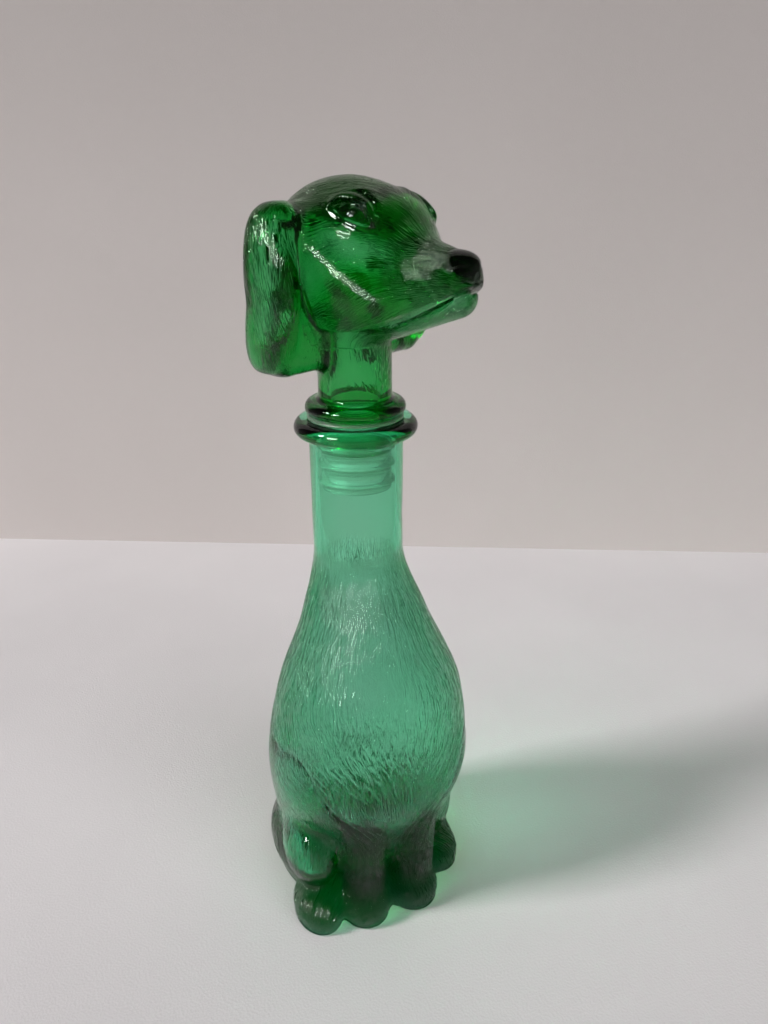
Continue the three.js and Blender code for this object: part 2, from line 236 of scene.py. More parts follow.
@dataclass(frozen=True)
class Trail:
    """A round cord through several points, for ridges and grooves."""

    points: tuple[Point, ...]
    radius: float
    margin: float = 8.0

    def gap(self, points: np.ndarray) -> np.ndarray:
        """Signed distances of the cord, worked out only near it.

        Args:
            points: Points in mm.

        Returns:
            One distance for each point, negative inside.
        """
        low = np.min(self.points, axis=0) - self.margin
        high = np.max(self.points, axis=0) + self.margin
        close = np.all((points > low) & (points < high), axis=1)
        gaps = np.full(len(points), self.margin)
        near = points[close]
        pairs = zip(self.points, self.points[1:])
        parts = [Limb(a, b, self.radius, self.radius).gap(near) for a, b in pairs]
        gaps[close] = np.minimum.reduce(parts)
        return gaps


@dataclass(frozen=True)
class Slab:
    """A block with rounded edges."""

    centre: Point
    half: Point
    rounding: float

    def gap(self, points: np.ndarray) -> np.ndarray:
        """Signed distances of the block.

        Args:
            points: Points in mm.

        Returns:
            One distance for each point, negative inside.
        """
        past = np.abs(points - self.centre) - np.subtract(self.half, self.rounding)
        outside = np.sqrt((np.maximum(past, 0.0) ** 2).sum(1))
        return outside + np.minimum(past.max(1), 0.0) - self.rounding


@dataclass(frozen=True)
class Disc:
    """An upright disc with a fully rounded rim."""

    base: float
    thickness: float
    radius: float

    def gap(self, points: np.ndarray) -> np.ndarray:
        """Signed distances of the disc.

        Args:
            points: Points in mm.

        Returns:
            One distance for each point, negative inside.
        """
        rim = self.thickness / 2.0
        past = np.maximum(np.hypot(points[:, 0], points[:, 1]) - (self.radius - rim), 0.0)
        return np.hypot(past, points[:, 2] - self.base - rim) - rim


@dataclass(frozen=True)
class Curve:
    """A smooth curve through stations, level at its ends and at its turning points."""

    heights: tuple[float, ...]
    sizes: tuple[float, ...]

    def at(self, height: np.ndarray) -> np.ndarray:
        """Sizes at the given heights.

        Args:
            height: Heights in mm.

        Returns:
            One size for each height.
        """
        stations, sizes = np.array(self.heights), np.array(self.sizes)
        slopes = np.diff(sizes) / np.diff(stations)
        product = slopes[:-1] * slopes[1:]
        total = np.where(product > 0.0, slopes[:-1] + slopes[1:], 1.0)
        tangents = np.zeros(len(stations))
        tangents[1:-1] = np.where(product > 0.0, 2.0 * product / total, 0.0)
        index = np.clip(np.searchsorted(stations, height, side="right") - 1, 0, len(stations) - 2)
        span = stations[index + 1] - stations[index]
        share = np.clip((height - stations[index]) / span, 0.0, 1.0)
        rest = 1.0 - share
        return (
            (1.0 + 2.0 * share) * rest * rest * sizes[index]
            + share * rest * rest * span * tangents[index]
            + share * share * (3.0 - 2.0 * share) * sizes[index + 1]
            - share * share * rest * span * tangents[index + 1]
        )


# Meshes

@dataclass
class Skin:
    """A closed skin of points and faces in mm, with the fur's flow at each point."""

    points: np.ndarray
    quads: np.ndarray
    triangles: np.ndarray
    flow: np.ndarray
    depth: np.ndarray

    def normals(self) -> np.ndarray:
        """Unit normals of the points, weighted by the area of the faces round them.

        Returns:
            One normal for each point.
        """
        total = np.zeros_like(self.points)
        for faces in (self.quads, self.triangles):
            if not len(faces):
                continue
            corners = self.points[faces]
            across = corners[:, 2] - corners[:, 0]
            other = corners[:, -1] - corners[:, 1]
            area = np.cross(across, other)
            for corner in range(faces.shape[1]):
                for axis in range(3):
                    total[:, axis] += np.bincount(
                        faces[:, corner], weights=area[:, axis], minlength=len(total)
                    )
        length = np.sqrt((total * total).sum(1))
        return total / np.maximum(length, 1e-9)[:, None]

    def to_object(self, name: str) -> bpy.types.Object:
        """Makes a smooth Blender object of the skin, in the frame's metres.

        Args:
            name: Name of the object.

        Returns:
            The new object, linked to the scene.
        """
        mesh = bpy.data.meshes.new(name)
        metres = self.points * (MM, -MM, MM)
        flipped = [self.quads[:, ::-1].ravel(), self.triangles[:, ::-1].ravel()]
        loops = np.concatenate(flipped).astype(np.int32)
        sides = np.concatenate([np.full(len(self.quads), 4), np.full(len(self.triangles), 3)])
        starts = np.concatenate([[0], np.cumsum(sides)[:-1]]).astype(np.int32)
        mesh.vertices.add(len(metres))
        mesh.vertices.foreach_set("co", metres.ravel().astype(np.float32))
        mesh.loops.add(len(loops))
        mesh.loops.foreach_set("vertex_index", loops)
        mesh.polygons.add(len(sides))
        mesh.polygons.foreach_set("loop_start", starts)
        mesh.update(calc_edges=True)
        mesh.polygons.foreach_set("use_smooth", np.ones(len(sides), dtype=bool))
        flow = mesh.attributes.new("fur_flow", "FLOAT_VECTOR", "POINT")
        flow.data.foreach_set("vector", self.flow.ravel().astype(np.float32))
        depth = mesh.attributes.new("fur_depth", "FLOAT", "POINT")
        depth.data.foreach_set("value", self.depth.astype(np.float32))
        mesh.update()
        obj = bpy.data.objects.new(name, mesh)
        bpy.context.scene.collection.objects.link(obj)
        return obj


def closed_sock(rings: np.ndarray, start: Point, end: Point) -> Skin:
    """Joins rings into one closed skin with a point at each end.

    Args:
        rings: Rings of points, from the outer pole round the mouth to the inner pole.
        start: Pole below the first ring.
        end: Pole past the last ring.

    Returns:
        The closed skin, with no fur on it.
    """
    count, columns = rings.shape[:2]
    points = np.concatenate([rings.reshape(-1, 3), [start, end]])
    row, column = np.meshgrid(np.arange(count - 1), np.arange(columns), indexing="ij")
    after = (column + 1) % columns
    quads = np.stack(
        [(row + 1) * columns + column, (row + 1) * columns + after,
         row * columns + after, row * columns + column], axis=-1
    ).reshape(-1, 4)
    ring = np.arange(columns)
    turned = (ring + 1) % columns
    first, last = len(points) - 2, len(points) - 1
    top = (count - 1) * columns
    fan = np.stack([ring, turned, np.full(columns, first)], axis=-1)
    cap = np.stack([top + turned, top + ring, np.full(columns, last)], axis=-1)
    return Skin(points, quads, np.concatenate([fan, cap]), points.copy(), np.zeros(len(points)))


def surface_net(form: Gap, low: Point, high: Point, cell: float) -> tuple[np.ndarray, np.ndarray]:
    """Wraps a form in a net of quads, with one point in each cell that its surface crosses.

    Args:
        form: Signed distances of the form.
        low: Lowest corner of the space that holds it.
        high: Highest corner of that space.
        cell: Size of a cell in mm.

    Returns:
        The points, and the quads that join them.
    """
    block = 8
    blocks = np.ceil((np.subtract(high, low) / cell + 1.0) / block).astype(int)
    size = blocks * block + 1
    middles = np.stack(np.meshgrid(*[np.arange(n) for n in blocks], indexing="ij"), axis=-1).reshape(-1, 3)
    centres = low + (middles * block + block / 2.0) * cell
    near = np.abs(form(centres)) < block * cell * 1.35
    values = np.full(size, 1e3)
    local = np.stack(np.meshgrid(*[np.arange(block + 1)] * 3, indexing="ij"), axis=-1).reshape(-1, 3)
    for group in np.array_split(middles[near], max(1, near.sum() // 300)):
        spots = (group[:, None, :] * block + local[None]).reshape(-1, 3)
        values[tuple(spots.T)] = form(low + spots * cell)
    known = values < 900.0
    solid = values < 0.0

    crossing = np.zeros(size - 1, dtype=int)
    total = np.zeros(tuple(size - 1) + (3,))
    quads = []
    for axis in range(3):
        lower = [slice(None)] * 3
        upper = [slice(None)] * 3
        lower[axis], upper[axis] = slice(0, -1), slice(1, None)
        lower, upper = tuple(lower), tuple(upper)
        change = (solid[lower] != solid[upper]) & known[lower] & known[upper]
        spots = np.argwhere(change)
        before = values[lower][change]
        after = values[upper][change]
        place = spots.astype(float)
        place[:, axis] += before / (before - after)
        others = [n for n in range(3) if n != axis]
        inside = np.all((spots[:, others] > 0) & (spots[:, others] < size[others] - 1), axis=1)
        spots, place = spots[inside], place[inside]
        entering = solid[lower][change][inside]
        around = []
        for shift in ((-1, -1), (0, -1), (0, 0), (-1, 0)):
            cells = spots.copy()
            cells[:, others[0]] += shift[0]
            cells[:, others[1]] += shift[1]
            np.add.at(crossing, tuple(cells.T), 1)
            np.add.at(total, tuple(cells.T), place)
            around.append(np.ravel_multi_index(tuple(cells.T), tuple(size - 1)))
        face = np.stack(around, axis=1)
        turn = entering if axis != 1 else ~entering
        face[~turn] = face[~turn][:, ::-1]
        quads.append(face)
    used = np.flatnonzero(crossing.ravel())
    order = np.full(crossing.size, -1)
    order[used] = np.arange(len(used))
    points = total.reshape(-1, 3)[used] / crossing.ravel()[used][:, None]
    return low + points * cell, order[np.concatenate(quads)]


def slope_of(form: Gap, points: np.ndarray, step: float = 0.05) -> np.ndarray:
    """Slope of a form by central differences.

    Args:
        form: Signed distances of the form.
        points: Points in mm.
        step: Half of the difference in mm.

    Returns:
        One gradient for each point.
    """
    parts = []
    for axis in range(3):
        shift = np.zeros(3)
        shift[axis] = step
        parts.append((form(points + shift) - form(points - shift)) / (2.0 * step))
    return np.stack(parts, axis=1)


def even_spacing(tracks: np.ndarray, spots: np.ndarray, count: int) -> np.ndarray:
    """Spreads a count of spots so that the skin between them is about even.

    Args:
        tracks: Tracks of points along the skin, one track for each row.
        spots: Places of the points along their tracks.
        count: How many spots are wanted.

    Returns:
        The spread spots, with both ends kept.
    """
    steps = np.sqrt((np.diff(tracks, axis=1) ** 2).sum(2)).mean(0)
    run = np.concatenate([[0.0], np.cumsum(steps)])
    return np.interp(np.linspace(0.0, run[-1], count), run, spots)


# Fur

@dataclass(frozen=True)
class Engraving:
    """Engraved fur: rows of long thin grooves that run along the flow."""

    pitch: float = 1.45
    length: float = 11.0
    groove: float = 0.26
    clump: float = 0.30
    seed: int = 7

    def cut(self, flow: np.ndarray, depth: np.ndarray) -> np.ndarray:
        """Depth of the grooves.

        Args:
            flow: Flow coordinates in mm. The last one runs along the strokes.
            depth: How much of the full depth is cut, from 0 to 1.

        Returns:
            Depths in mm, never below 0.
        """
        fine = flow / (self.pitch, self.pitch, self.length)
        wide = flow / (self.pitch * 3.1, self.pitch * 3.1, self.length * 1.7)
        stroke = (1.0 - np.abs(lattice_noise(fine, self.seed))) ** 3
        tuft = 0.5 - 0.5 * lattice_noise(wide, self.seed + 4)
        return depth * (self.groove * stroke + self.clump * tuft)


@dataclass(frozen=True)
class Strokes:
    """Engraved fur: single grooves scattered over a flat map that wraps round the body."""

    reference: float = 45.0
    around: int = 68
    length: float = 10.5
    width: float = 1.15
    depth: float = 0.42
    seed: int = 61

    def cut(self, flat: np.ndarray, heading: Gap) -> np.ndarray:
        """Depth of the grooves.

        Args:
            flat: Places on the map in mm, round the body and up it.
            heading: Slope of a groove at given places: how far round it goes for each mm up.

        Returns:
            Depths in mm, never below 0.
        """
        cell_size = 2.0 * math.pi * self.reference / self.around
        home = np.floor(flat / cell_size).astype(np.int64)
        deepest = np.zeros(len(flat))
        for step in range(25):
            cell = home + (step % 5 - 2, step // 5 - 2)
            wrapped = np.column_stack([cell[:, 0] % self.around, cell[:, 1]])
            first, second, third, fourth = (scatter(wrapped, self.seed + n) for n in range(4))
            middle = (cell + np.column_stack([first, second])) * cell_size
            slope = heading(middle) + 0.5 * (third - 0.5)
            size = 1.0 / np.sqrt(1.0 + slope * slope)
            offset = flat - middle
            run = (offset[:, 0] * slope + offset[:, 1]) * size
            aside = (offset[:, 0] - offset[:, 1] * slope) * size
            taper = np.clip(1.0 - (run / (self.length * (0.3 + 0.35 * fourth))) ** 2, 0.0, 1.0)
            groove = np.exp(-((aside / (0.42 * self.width)) ** 2)) * taper * (0.5 + 0.5 * second)
            deepest = np.maximum(deepest, groove)
        return self.depth * deepest


# Finishes

@dataclass(frozen=True)
class GlassFinish:
    """Coloured blown glass."""

    name: str
    absorb: Colour
    density: float
    haze: tuple[float, float]
    bump: float


@dataclass(frozen=True)
class PlasticFinish:
    """Pale moulded plastic that lets light through."""

    name: str
    light: Colour
    dark: Colour
    density: float


@dataclass(frozen=True)
class PaintFinish:
    """Plain matt surface of the stage."""

    name: str
    light: Colour
    dark: Colour
    scale: float
    bump: float
    one_sided: bool


BODY_GLASS = GlassFinish("body_glass", (0.108, 0.864, 0.592, 1.0), 250.0, (0.0, 0.03), 0.00028)
HEAD_GLASS = GlassFinish("head_glass", (0.09, 0.842, 0.42, 1.0), 340.0, (0.0, 0.03), 0.00022)
SLEEVE = PlasticFinish("sleeve_plastic", (0.95, 0.96, 0.94, 1.0), (0.86, 0.90, 0.85, 1.0), 60.0)
CLOTH = PaintFinish("table_cloth", (0.80, 0.775, 0.79, 1.0), (0.74, 0.715, 0.73, 1.0), 5.0, 0.0006, False)
# The wall's colours are darkened toward its top by painted shade in the plaster group.
WALL = PaintFinish("wall_paint", (0.72, 0.665, 0.647, 1.0), (0.665, 0.615, 0.596, 1.0), 2.2, 0.0004, True)


class NodeSheet:
    """Short ways to place and join the nodes of one tree."""

    def __init__(self, tree: bpy.types.NodeTree) -> None:
        self.tree = tree

    def add(self, kind: str, **settings: object) -> bpy.types.Node:
        """Adds a node and sets its own properties.

        Args:
            kind: Blender's name for the node type.
            **settings: Properties of the node.

        Returns:
            The new node.
        """
        node = self.tree.nodes.new(kind)
        for key, value in settings.items():
            setattr(node, key, value)
        return node

    def join(self, source: bpy.types.NodeSocket, target: bpy.types.NodeSocket) -> None:
        """Links an output to an input.

        Args:
            source: Output socket.
            target: Input socket.
        """
        self.tree.links.new(source, target)

    def math(self, operation: str, first: object, second: object = 0.0) -> bpy.types.NodeSocket:
        """Adds a Math node.

        Args:
            operation: Blender's name for the operation.
            first: Socket or number for the first input.
            second: Socket or number for the second input.

        Returns:
            The output socket.
        """
        node = self.add("ShaderNodeMath", operation=operation)
        for place, value in enumerate((first, second)):
            if isinstance(value, bpy.types.NodeSocket):
                self.join(value, node.inputs[place])
            else:
                node.inputs[place].default_value = value
        return node.outputs[0]

    def noise(self, vector: bpy.types.NodeSocket, scale: float, detail: float) -> bpy.types.NodeSocket:
        """Adds a Noise Texture node.

        Args:
            vector: Socket with the coordinates.
            scale: Scale of the noise.
            detail: Octaves of the noise.

        Returns:
            The value from 0 to 1.
        """
        node = self.add("ShaderNodeTexNoise")
        self.join(vector, node.inputs["Vector"])
        node.inputs["Scale"].default_value = scale
        node.inputs["Detail"].default_value = detail
        return node.outputs[0]

    def ramp(self, value: bpy.types.NodeSocket, stops: list[tuple[float, Colour]]) -> bpy.types.NodeSocket:
        """Adds a Color Ramp node.

        Args:
            value: Socket that drives the ramp.
            stops: Places from 0 to 1 and their colours.

        Returns:
            The colour.
        """
        node = self.add("ShaderNodeValToRGB")
        stop_list = node.color_ramp.elements
        while len(stop_list) < len(stops):
            stop_list.new(1.0)
        for element, (place, colour) in zip(stop_list, stops):
            element.position = place
            element.color = colour
        self.join(value, node.inputs[0])
        return node.outputs[0]


class Painter:
    """Makes the materials and the node groups that they share."""

    def __init__(self) -> None:
        self.strokes = self._fur_group()
        self.wear = self._wear_group()
        self.plaster_and_shade = self._plaster_and_shade_group()

    @staticmethod
    def _new_group(name: str, inputs: list[tuple[str, str]], outputs: list[tuple[str, str]]) -> NodeSheet:
        """Starts a node group with named sockets.

        Args:
            name: Name of the group.
            inputs: Names and types of its inputs.
            outputs: Names and types of its outputs.

        Returns:
            The sheet of the new group.
        """
        tree = bpy.data.node_groups.new(name, "ShaderNodeTree")
        for label, kind in inputs:
            tree.interface.new_socket(label, in_out="INPUT", socket_type=kind)
        for label, kind in outputs:
            tree.interface.new_socket(label, in_out="OUTPUT", socket_type=kind)
        return NodeSheet(tree)

    def _fur_group(self) -> bpy.types.NodeTree:
        """Fine engraved strokes along the fur's flow.

        Returns:
            The node group. Its Height goes to a Bump node.
        """
        sheet = self._new_group(
            "fur_strokes",
            [("Flow", "NodeSocketVector"), ("Depth", "NodeSocketFloat")],
            [("Height", "NodeSocketFloat")],
        )
        ends = sheet.add("NodeGroupInput")
        out = sheet.add("NodeGroupOutput")
        stretch = sheet.add("ShaderNodeMapping")
        stretch.inputs["Scale"].default_value = (1.0, 1.0, 0.12)
        sheet.join(ends.outputs["Flow"], stretch.inputs["Vector"])
        fine = sheet.noise(stretch.outputs[0], 0.95, 1.5)
        ridge = sheet.math("ABSOLUTE", sheet.math("MULTIPLY_ADD", fine, 2.0))
        ridge.node.inputs[0].links[0].from_node.inputs[2].default_value = -1.0
        stroke = sheet.math("POWER", sheet.math("SUBTRACT", 1.0, ridge), 5.0)
        cut = sheet.math("MULTIPLY", stroke, ends.outputs["Depth"])
        sheet.join(sheet.math("SUBTRACT", 1.0, cut), out.inputs["Height"])
        return sheet.tree

    def _wear_group(self) -> bpy.types.NodeTree:
        """Faint haze and handling marks.

        Returns:
            The node group. Its Haze goes to Roughness and its Tint to Base Color.
        """
        sheet = self._new_group(
            "surface_wear",
            [("Position", "NodeSocketVector"), ("Clean", "NodeSocketFloat"), ("Worn", "NodeSocketFloat"),
             ("Light", "NodeSocketColor"), ("Dark", "NodeSocketColor")],
            [("Haze", "NodeSocketFloat"), ("Tint", "NodeSocketColor"), ("Grain", "NodeSocketFloat")],
        )
        ends = sheet.add("NodeGroupInput")
        out = sheet.add("NodeGroupOutput")
        broad = sheet.noise(ends.outputs["Position"], 28.0, 3.0)
        grain = sheet.noise(ends.outputs["Position"], 240.0, 2.0)
        patch = sheet.add("ShaderNodeMapRange", interpolation_type="SMOOTHSTEP")
        sheet.join(broad, patch.inputs["Value"])
        patch.inputs["From Min"].default_value = 0.40
        patch.inputs["From Max"].default_value = 0.72
        sheet.join(ends.outputs["Clean"], patch.inputs["To Min"])
        sheet.join(ends.outputs["Worn"], patch.inputs["To Max"])
        sheet.join(patch.outputs[0], out.inputs["Haze"])
        mix = sheet.add("ShaderNodeMix", data_type="RGBA")
        sheet.join(broad, mix.inputs["Factor"])
        sheet.join(ends.outputs["Light"], mix.inputs["A"])
        sheet.join(ends.outputs["Dark"], mix.inputs["B"])
        sheet.join(mix.outputs["Result"], out.inputs["Tint"])
        sheet.join(grain, out.inputs["Grain"])
        return sheet.tree

    def _plaster_and_shade_group(self) -> bpy.types.NodeTree:
        """Uneven matt colour, with painted shade that darkens a wall toward its top.

        Returns:
            The node group. Its Tint goes to Base Color and its Weave to a Bump node.
        """
        sheet = self._new_group(
            "plaster_with_painted_shade",
            [("Position", "NodeSocketVector"), ("Scale", "NodeSocketFloat"), ("Light", "NodeSocketColor"),
             ("Dark", "NodeSocketColor")],
            [("Tint", "NodeSocketColor"), ("Weave", "NodeSocketFloat")],
        )
        ends = sheet.add("NodeGroupInput")
        out = sheet.add("NodeGroupOutput")
        broad = sheet.noise(ends.outputs["Position"], 1.0, 3.0)
        sheet.join(ends.outputs["Scale"], broad.node.inputs["Scale"])
        patch = sheet.add("ShaderNodeMapRange")
        sheet.join(broad, patch.inputs["Value"])
        patch.inputs["From Min"].default_value = 0.3
        patch.inputs["From Max"].default_value = 0.7
        mix = sheet.add("ShaderNodeMix", data_type="RGBA")
        sheet.join(patch.outputs[0], mix.inputs["Factor"])
        sheet.join(ends.outputs["Dark"], mix.inputs["A"])
        sheet.join(ends.outputs["Light"], mix.inputs["B"])
        parts = sheet.add("ShaderNodeSeparateXYZ")
        sheet.join(ends.outputs["Position"], parts.inputs[0])
        # Painted shade: the colour is multiplied from 1 at the foot of the wall down to 0.72 at 0.45 m up, so
        # the wall darkens toward its top.
        painted_top_shade = sheet.add("ShaderNodeMapRange")
        sheet.join(parts.outputs["Z"], painted_top_shade.inputs["Value"])
        painted_top_shade.inputs["From Max"].default_value = 0.45
        painted_top_shade.inputs["To Min"].default_value = 1.0
        painted_top_shade.inputs["To Max"].default_value = 0.72
        dim = sheet.add("ShaderNodeMix", data_type="RGBA", blend_type="MULTIPLY")
        dim.inputs["Factor"].default_value = 1.0
        sheet.join(mix.outputs["Result"], dim.inputs["A"])
        sheet.join(painted_top_shade.outputs[0], dim.inputs["B"])
        sheet.join(dim.outputs["Result"], out.inputs["Tint"])
        sheet.join(sheet.noise(ends.outputs["Position"], 900.0, 2.0), out.inputs["Weave"])
        return sheet.tree

    @staticmethod
    def _start(name: str) -> tuple[bpy.types.Material, NodeSheet, bpy.types.Node, bpy.types.Node]:
        """Starts a material with an output and a Principled shader.

        Args:
            name: Name of the material.

        Returns:
            The material, its sheet, the output and the shader.
        """
        material = bpy.data.materials.new(name)
        material.use_nodes = True
        material.node_tree.nodes.clear()
        sheet = NodeSheet(material.node_tree)
        out = sheet.add("ShaderNodeOutputMaterial")
        shader = sheet.add("ShaderNodeBsdfPrincipled")
        return material, sheet, out, shader

    def _worn(
        self, sheet: NodeSheet, light: Colour, dark: Colour, clean: float, worn: float
    ) -> bpy.types.Node:
        """Places the shared wear group on an object's own coordinates.

        Args:
            sheet: Sheet of the material.
            light: Colour of clean parts.
            dark: Colour of worn parts.
            clean: Roughness of clean parts.
            worn: Roughness of worn parts.

        Returns:
            The group node.
        """
        where = sheet.add("ShaderNodeTexCoord")
        group = sheet.add("ShaderNodeGroup", node_tree=self.wear)
        sheet.join(where.outputs["Object"], group.inputs["Position"])
        group.inputs["Clean"].default_value = clean
        group.inputs["Worn"].default_value = worn
        group.inputs["Light"].default_value = light
        group.inputs["Dark"].default_value = dark
        return group

    def glass(self, finish: GlassFinish) -> bpy.types.Material:
        """Makes clear coloured glass with engraved fur.

        Args:
            finish: Colours and sizes of the glass.

        Returns:
            The material.
        """
        material, sheet, out, shader = self._start(finish.name)
        wear = self._worn(sheet, (1.0, 1.0, 1.0, 1.0), (0.95, 0.985, 0.96, 1.0), *finish.haze)
        sheet.join(wear.outputs["Haze"], shader.inputs["Roughness"])
        sheet.join(wear.outputs["Tint"], shader.inputs["Base Color"])
        shader.inputs["Transmission Weight"].default_value = 1.0
        shader.inputs["IOR"].default_value = 1.51
        shader.inputs["Specular Tint"].default_value = (0.6, 0.6, 0.6, 1.0)
        flow = sheet.add("ShaderNodeAttribute", attribute_name="fur_flow")
        depth = sheet.add("ShaderNodeAttribute", attribute_name="fur_depth")
        strokes = sheet.add("ShaderNodeGroup", node_tree=self.strokes)
        sheet.join(flow.outputs["Vector"], strokes.inputs["Flow"])
        sheet.join(depth.outputs["Fac"], strokes.inputs["Depth"])
        bump = sheet.add("ShaderNodeBump")
        bump.inputs["Strength"].default_value = 1.0
        bump.inputs["Distance"].default_value = finish.bump
        sheet.join(strokes.outputs["Height"], bump.inputs["Height"])
        sheet.join(bump.outputs["Normal"], shader.inputs["Normal"])
        self._let_light_through(sheet, out, shader, finish.absorb, finish.density)
        return material

    def plastic(self, finish: PlasticFinish) -> bpy.types.Material:
        """Makes pale plastic that lets light through.

        Args:
            finish: Colours of the plastic.

        Returns:
            The material.
        """
        material, sheet, out, shader = self._start(finish.name)
        wear = self._worn(sheet, finish.light, finish.dark, 0.16, 0.30)
        sheet.join(wear.outputs["Tint"], shader.inputs["Base Color"])
        sheet.join(wear.outputs["Haze"], shader.inputs["Roughness"])
        bump = sheet.add("ShaderNodeBump")
        bump.inputs["Strength"].default_value = 0.3
        bump.inputs["Distance"].default_value = 0.0002
        sheet.join(wear.outputs["Grain"], bump.inputs["Height"])
        sheet.join(bump.outputs["Normal"], shader.inputs["Normal"])
        shader.inputs["Transmission Weight"].default_value = 0.9
        shader.inputs["IOR"].default_value = 1.45
        self._let_light_through(sheet, out, shader, (0.85, 0.9, 0.84, 1.0), finish.density)
        return material

    @staticmethod
    def _let_light_through(
        sheet: NodeSheet, out: bpy.types.Node, shader: bpy.types.Node, absorb: Colour, density: float
    ) -> None:
        """Tints the inside and lets the lamps' light through the surface.

        Args:
            sheet: Sheet of the material.
            out: Output node of the material.
            shader: Principled shader of the surface.
            absorb: Colour of the absorbing volume.
            density: Density of the absorbing volume for each metre.
        """
        clear = sheet.add("ShaderNodeBsdfTransparent")
        clear.inputs["Color"].default_value = (0.52, 0.52, 0.52, 1.0)
        path = sheet.add("ShaderNodeLightPath")
        mix = sheet.add("ShaderNodeMixShader")
        sheet.join(path.outputs["Is Shadow Ray"], mix.inputs[0])
        sheet.join(shader.outputs[0], mix.inputs[1])
        sheet.join(clear.outputs[0], mix.inputs[2])
        sheet.join(mix.outputs[0], out.inputs["Surface"])
        volume = sheet.add("ShaderNodeVolumeAbsorption")
        volume.inputs["Color"].default_value = absorb
        volume.inputs["Density"].default_value = density
        sheet.join(volume.outputs[0], out.inputs["Volume"])

    def paint(self, finish: PaintFinish) -> bpy.types.Material:
        """Makes a plain matt surface for the stage.

        Args:
            finish: Colours of the surface.

        Returns:
            The material.
        """
        material, sheet, out, shader = self._start(finish.name)
        where = sheet.add("ShaderNodeTexCoord")
        # The group adds painted shade that darkens the wall toward its top. The table lies at height 0, where
        # nothing is darkened.
        group = sheet.add("ShaderNodeGroup", node_tree=self.plaster_and_shade)
        sheet.join(where.outputs["Object"], group.inputs["Position"])
        group.inputs["Scale"].default_value = finish.scale
        group.inputs["Light"].default_value = finish.light
        group.inputs["Dark"].default_value = finish.dark
        sheet.join(group.outputs["Tint"], shader.inputs["Base Color"])
        shader.inputs["Roughness"].default_value = 0.85
        shader.inputs["Specular IOR Level"].default_value = 0.2
        bump = sheet.add("ShaderNodeBump")
        bump.inputs["Strength"].default_value = 0.35
        bump.inputs["Distance"].default_value = finish.bump
        sheet.join(group.outputs["Weave"], bump.inputs["Height"])
        sheet.join(bump.outputs["Normal"], shader.inputs["Normal"])
        if not finish.one_sided:
            sheet.join(shader.outputs[0], out.inputs["Surface"])
            return material
        side = sheet.add("ShaderNodeNewGeometry")
        clear = sheet.add("ShaderNodeBsdfTransparent")
        mix = sheet.add("ShaderNodeMixShader")
        sheet.join(side.outputs["Backfacing"], mix.inputs[0])
        sheet.join(shader.outputs[0], mix.inputs[1])
        sheet.join(clear.outputs[0], mix.inputs[2])
        sheet.join(mix.outputs[0], out.inputs["Surface"])
        return material


# Pieces

def settle(obj: bpy.types.Object, material: bpy.types.Material, node: Node, body: Body, slot: Slot) -> None:
    """Puts a finished piece in the frame in place of its node.

    Args:
        obj: The piece.
        material: Its material.
        node: Node of the CAD model that it stands in for.
        body: Moving body that it rides on.
        slot: Material slot of the record.
    """
    obj.data.materials.append(material)
    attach(obj, body.value)
    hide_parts(node.value)
    LOG.info("%s: %d points, rides on %s, slot %s", obj.name, len(obj.data.vertices), body.value, slot.value)


TORSO_HEIGHTS = (0.0, 38.0, 76.0, 112.0, 150.0, 180.0, 238.5)


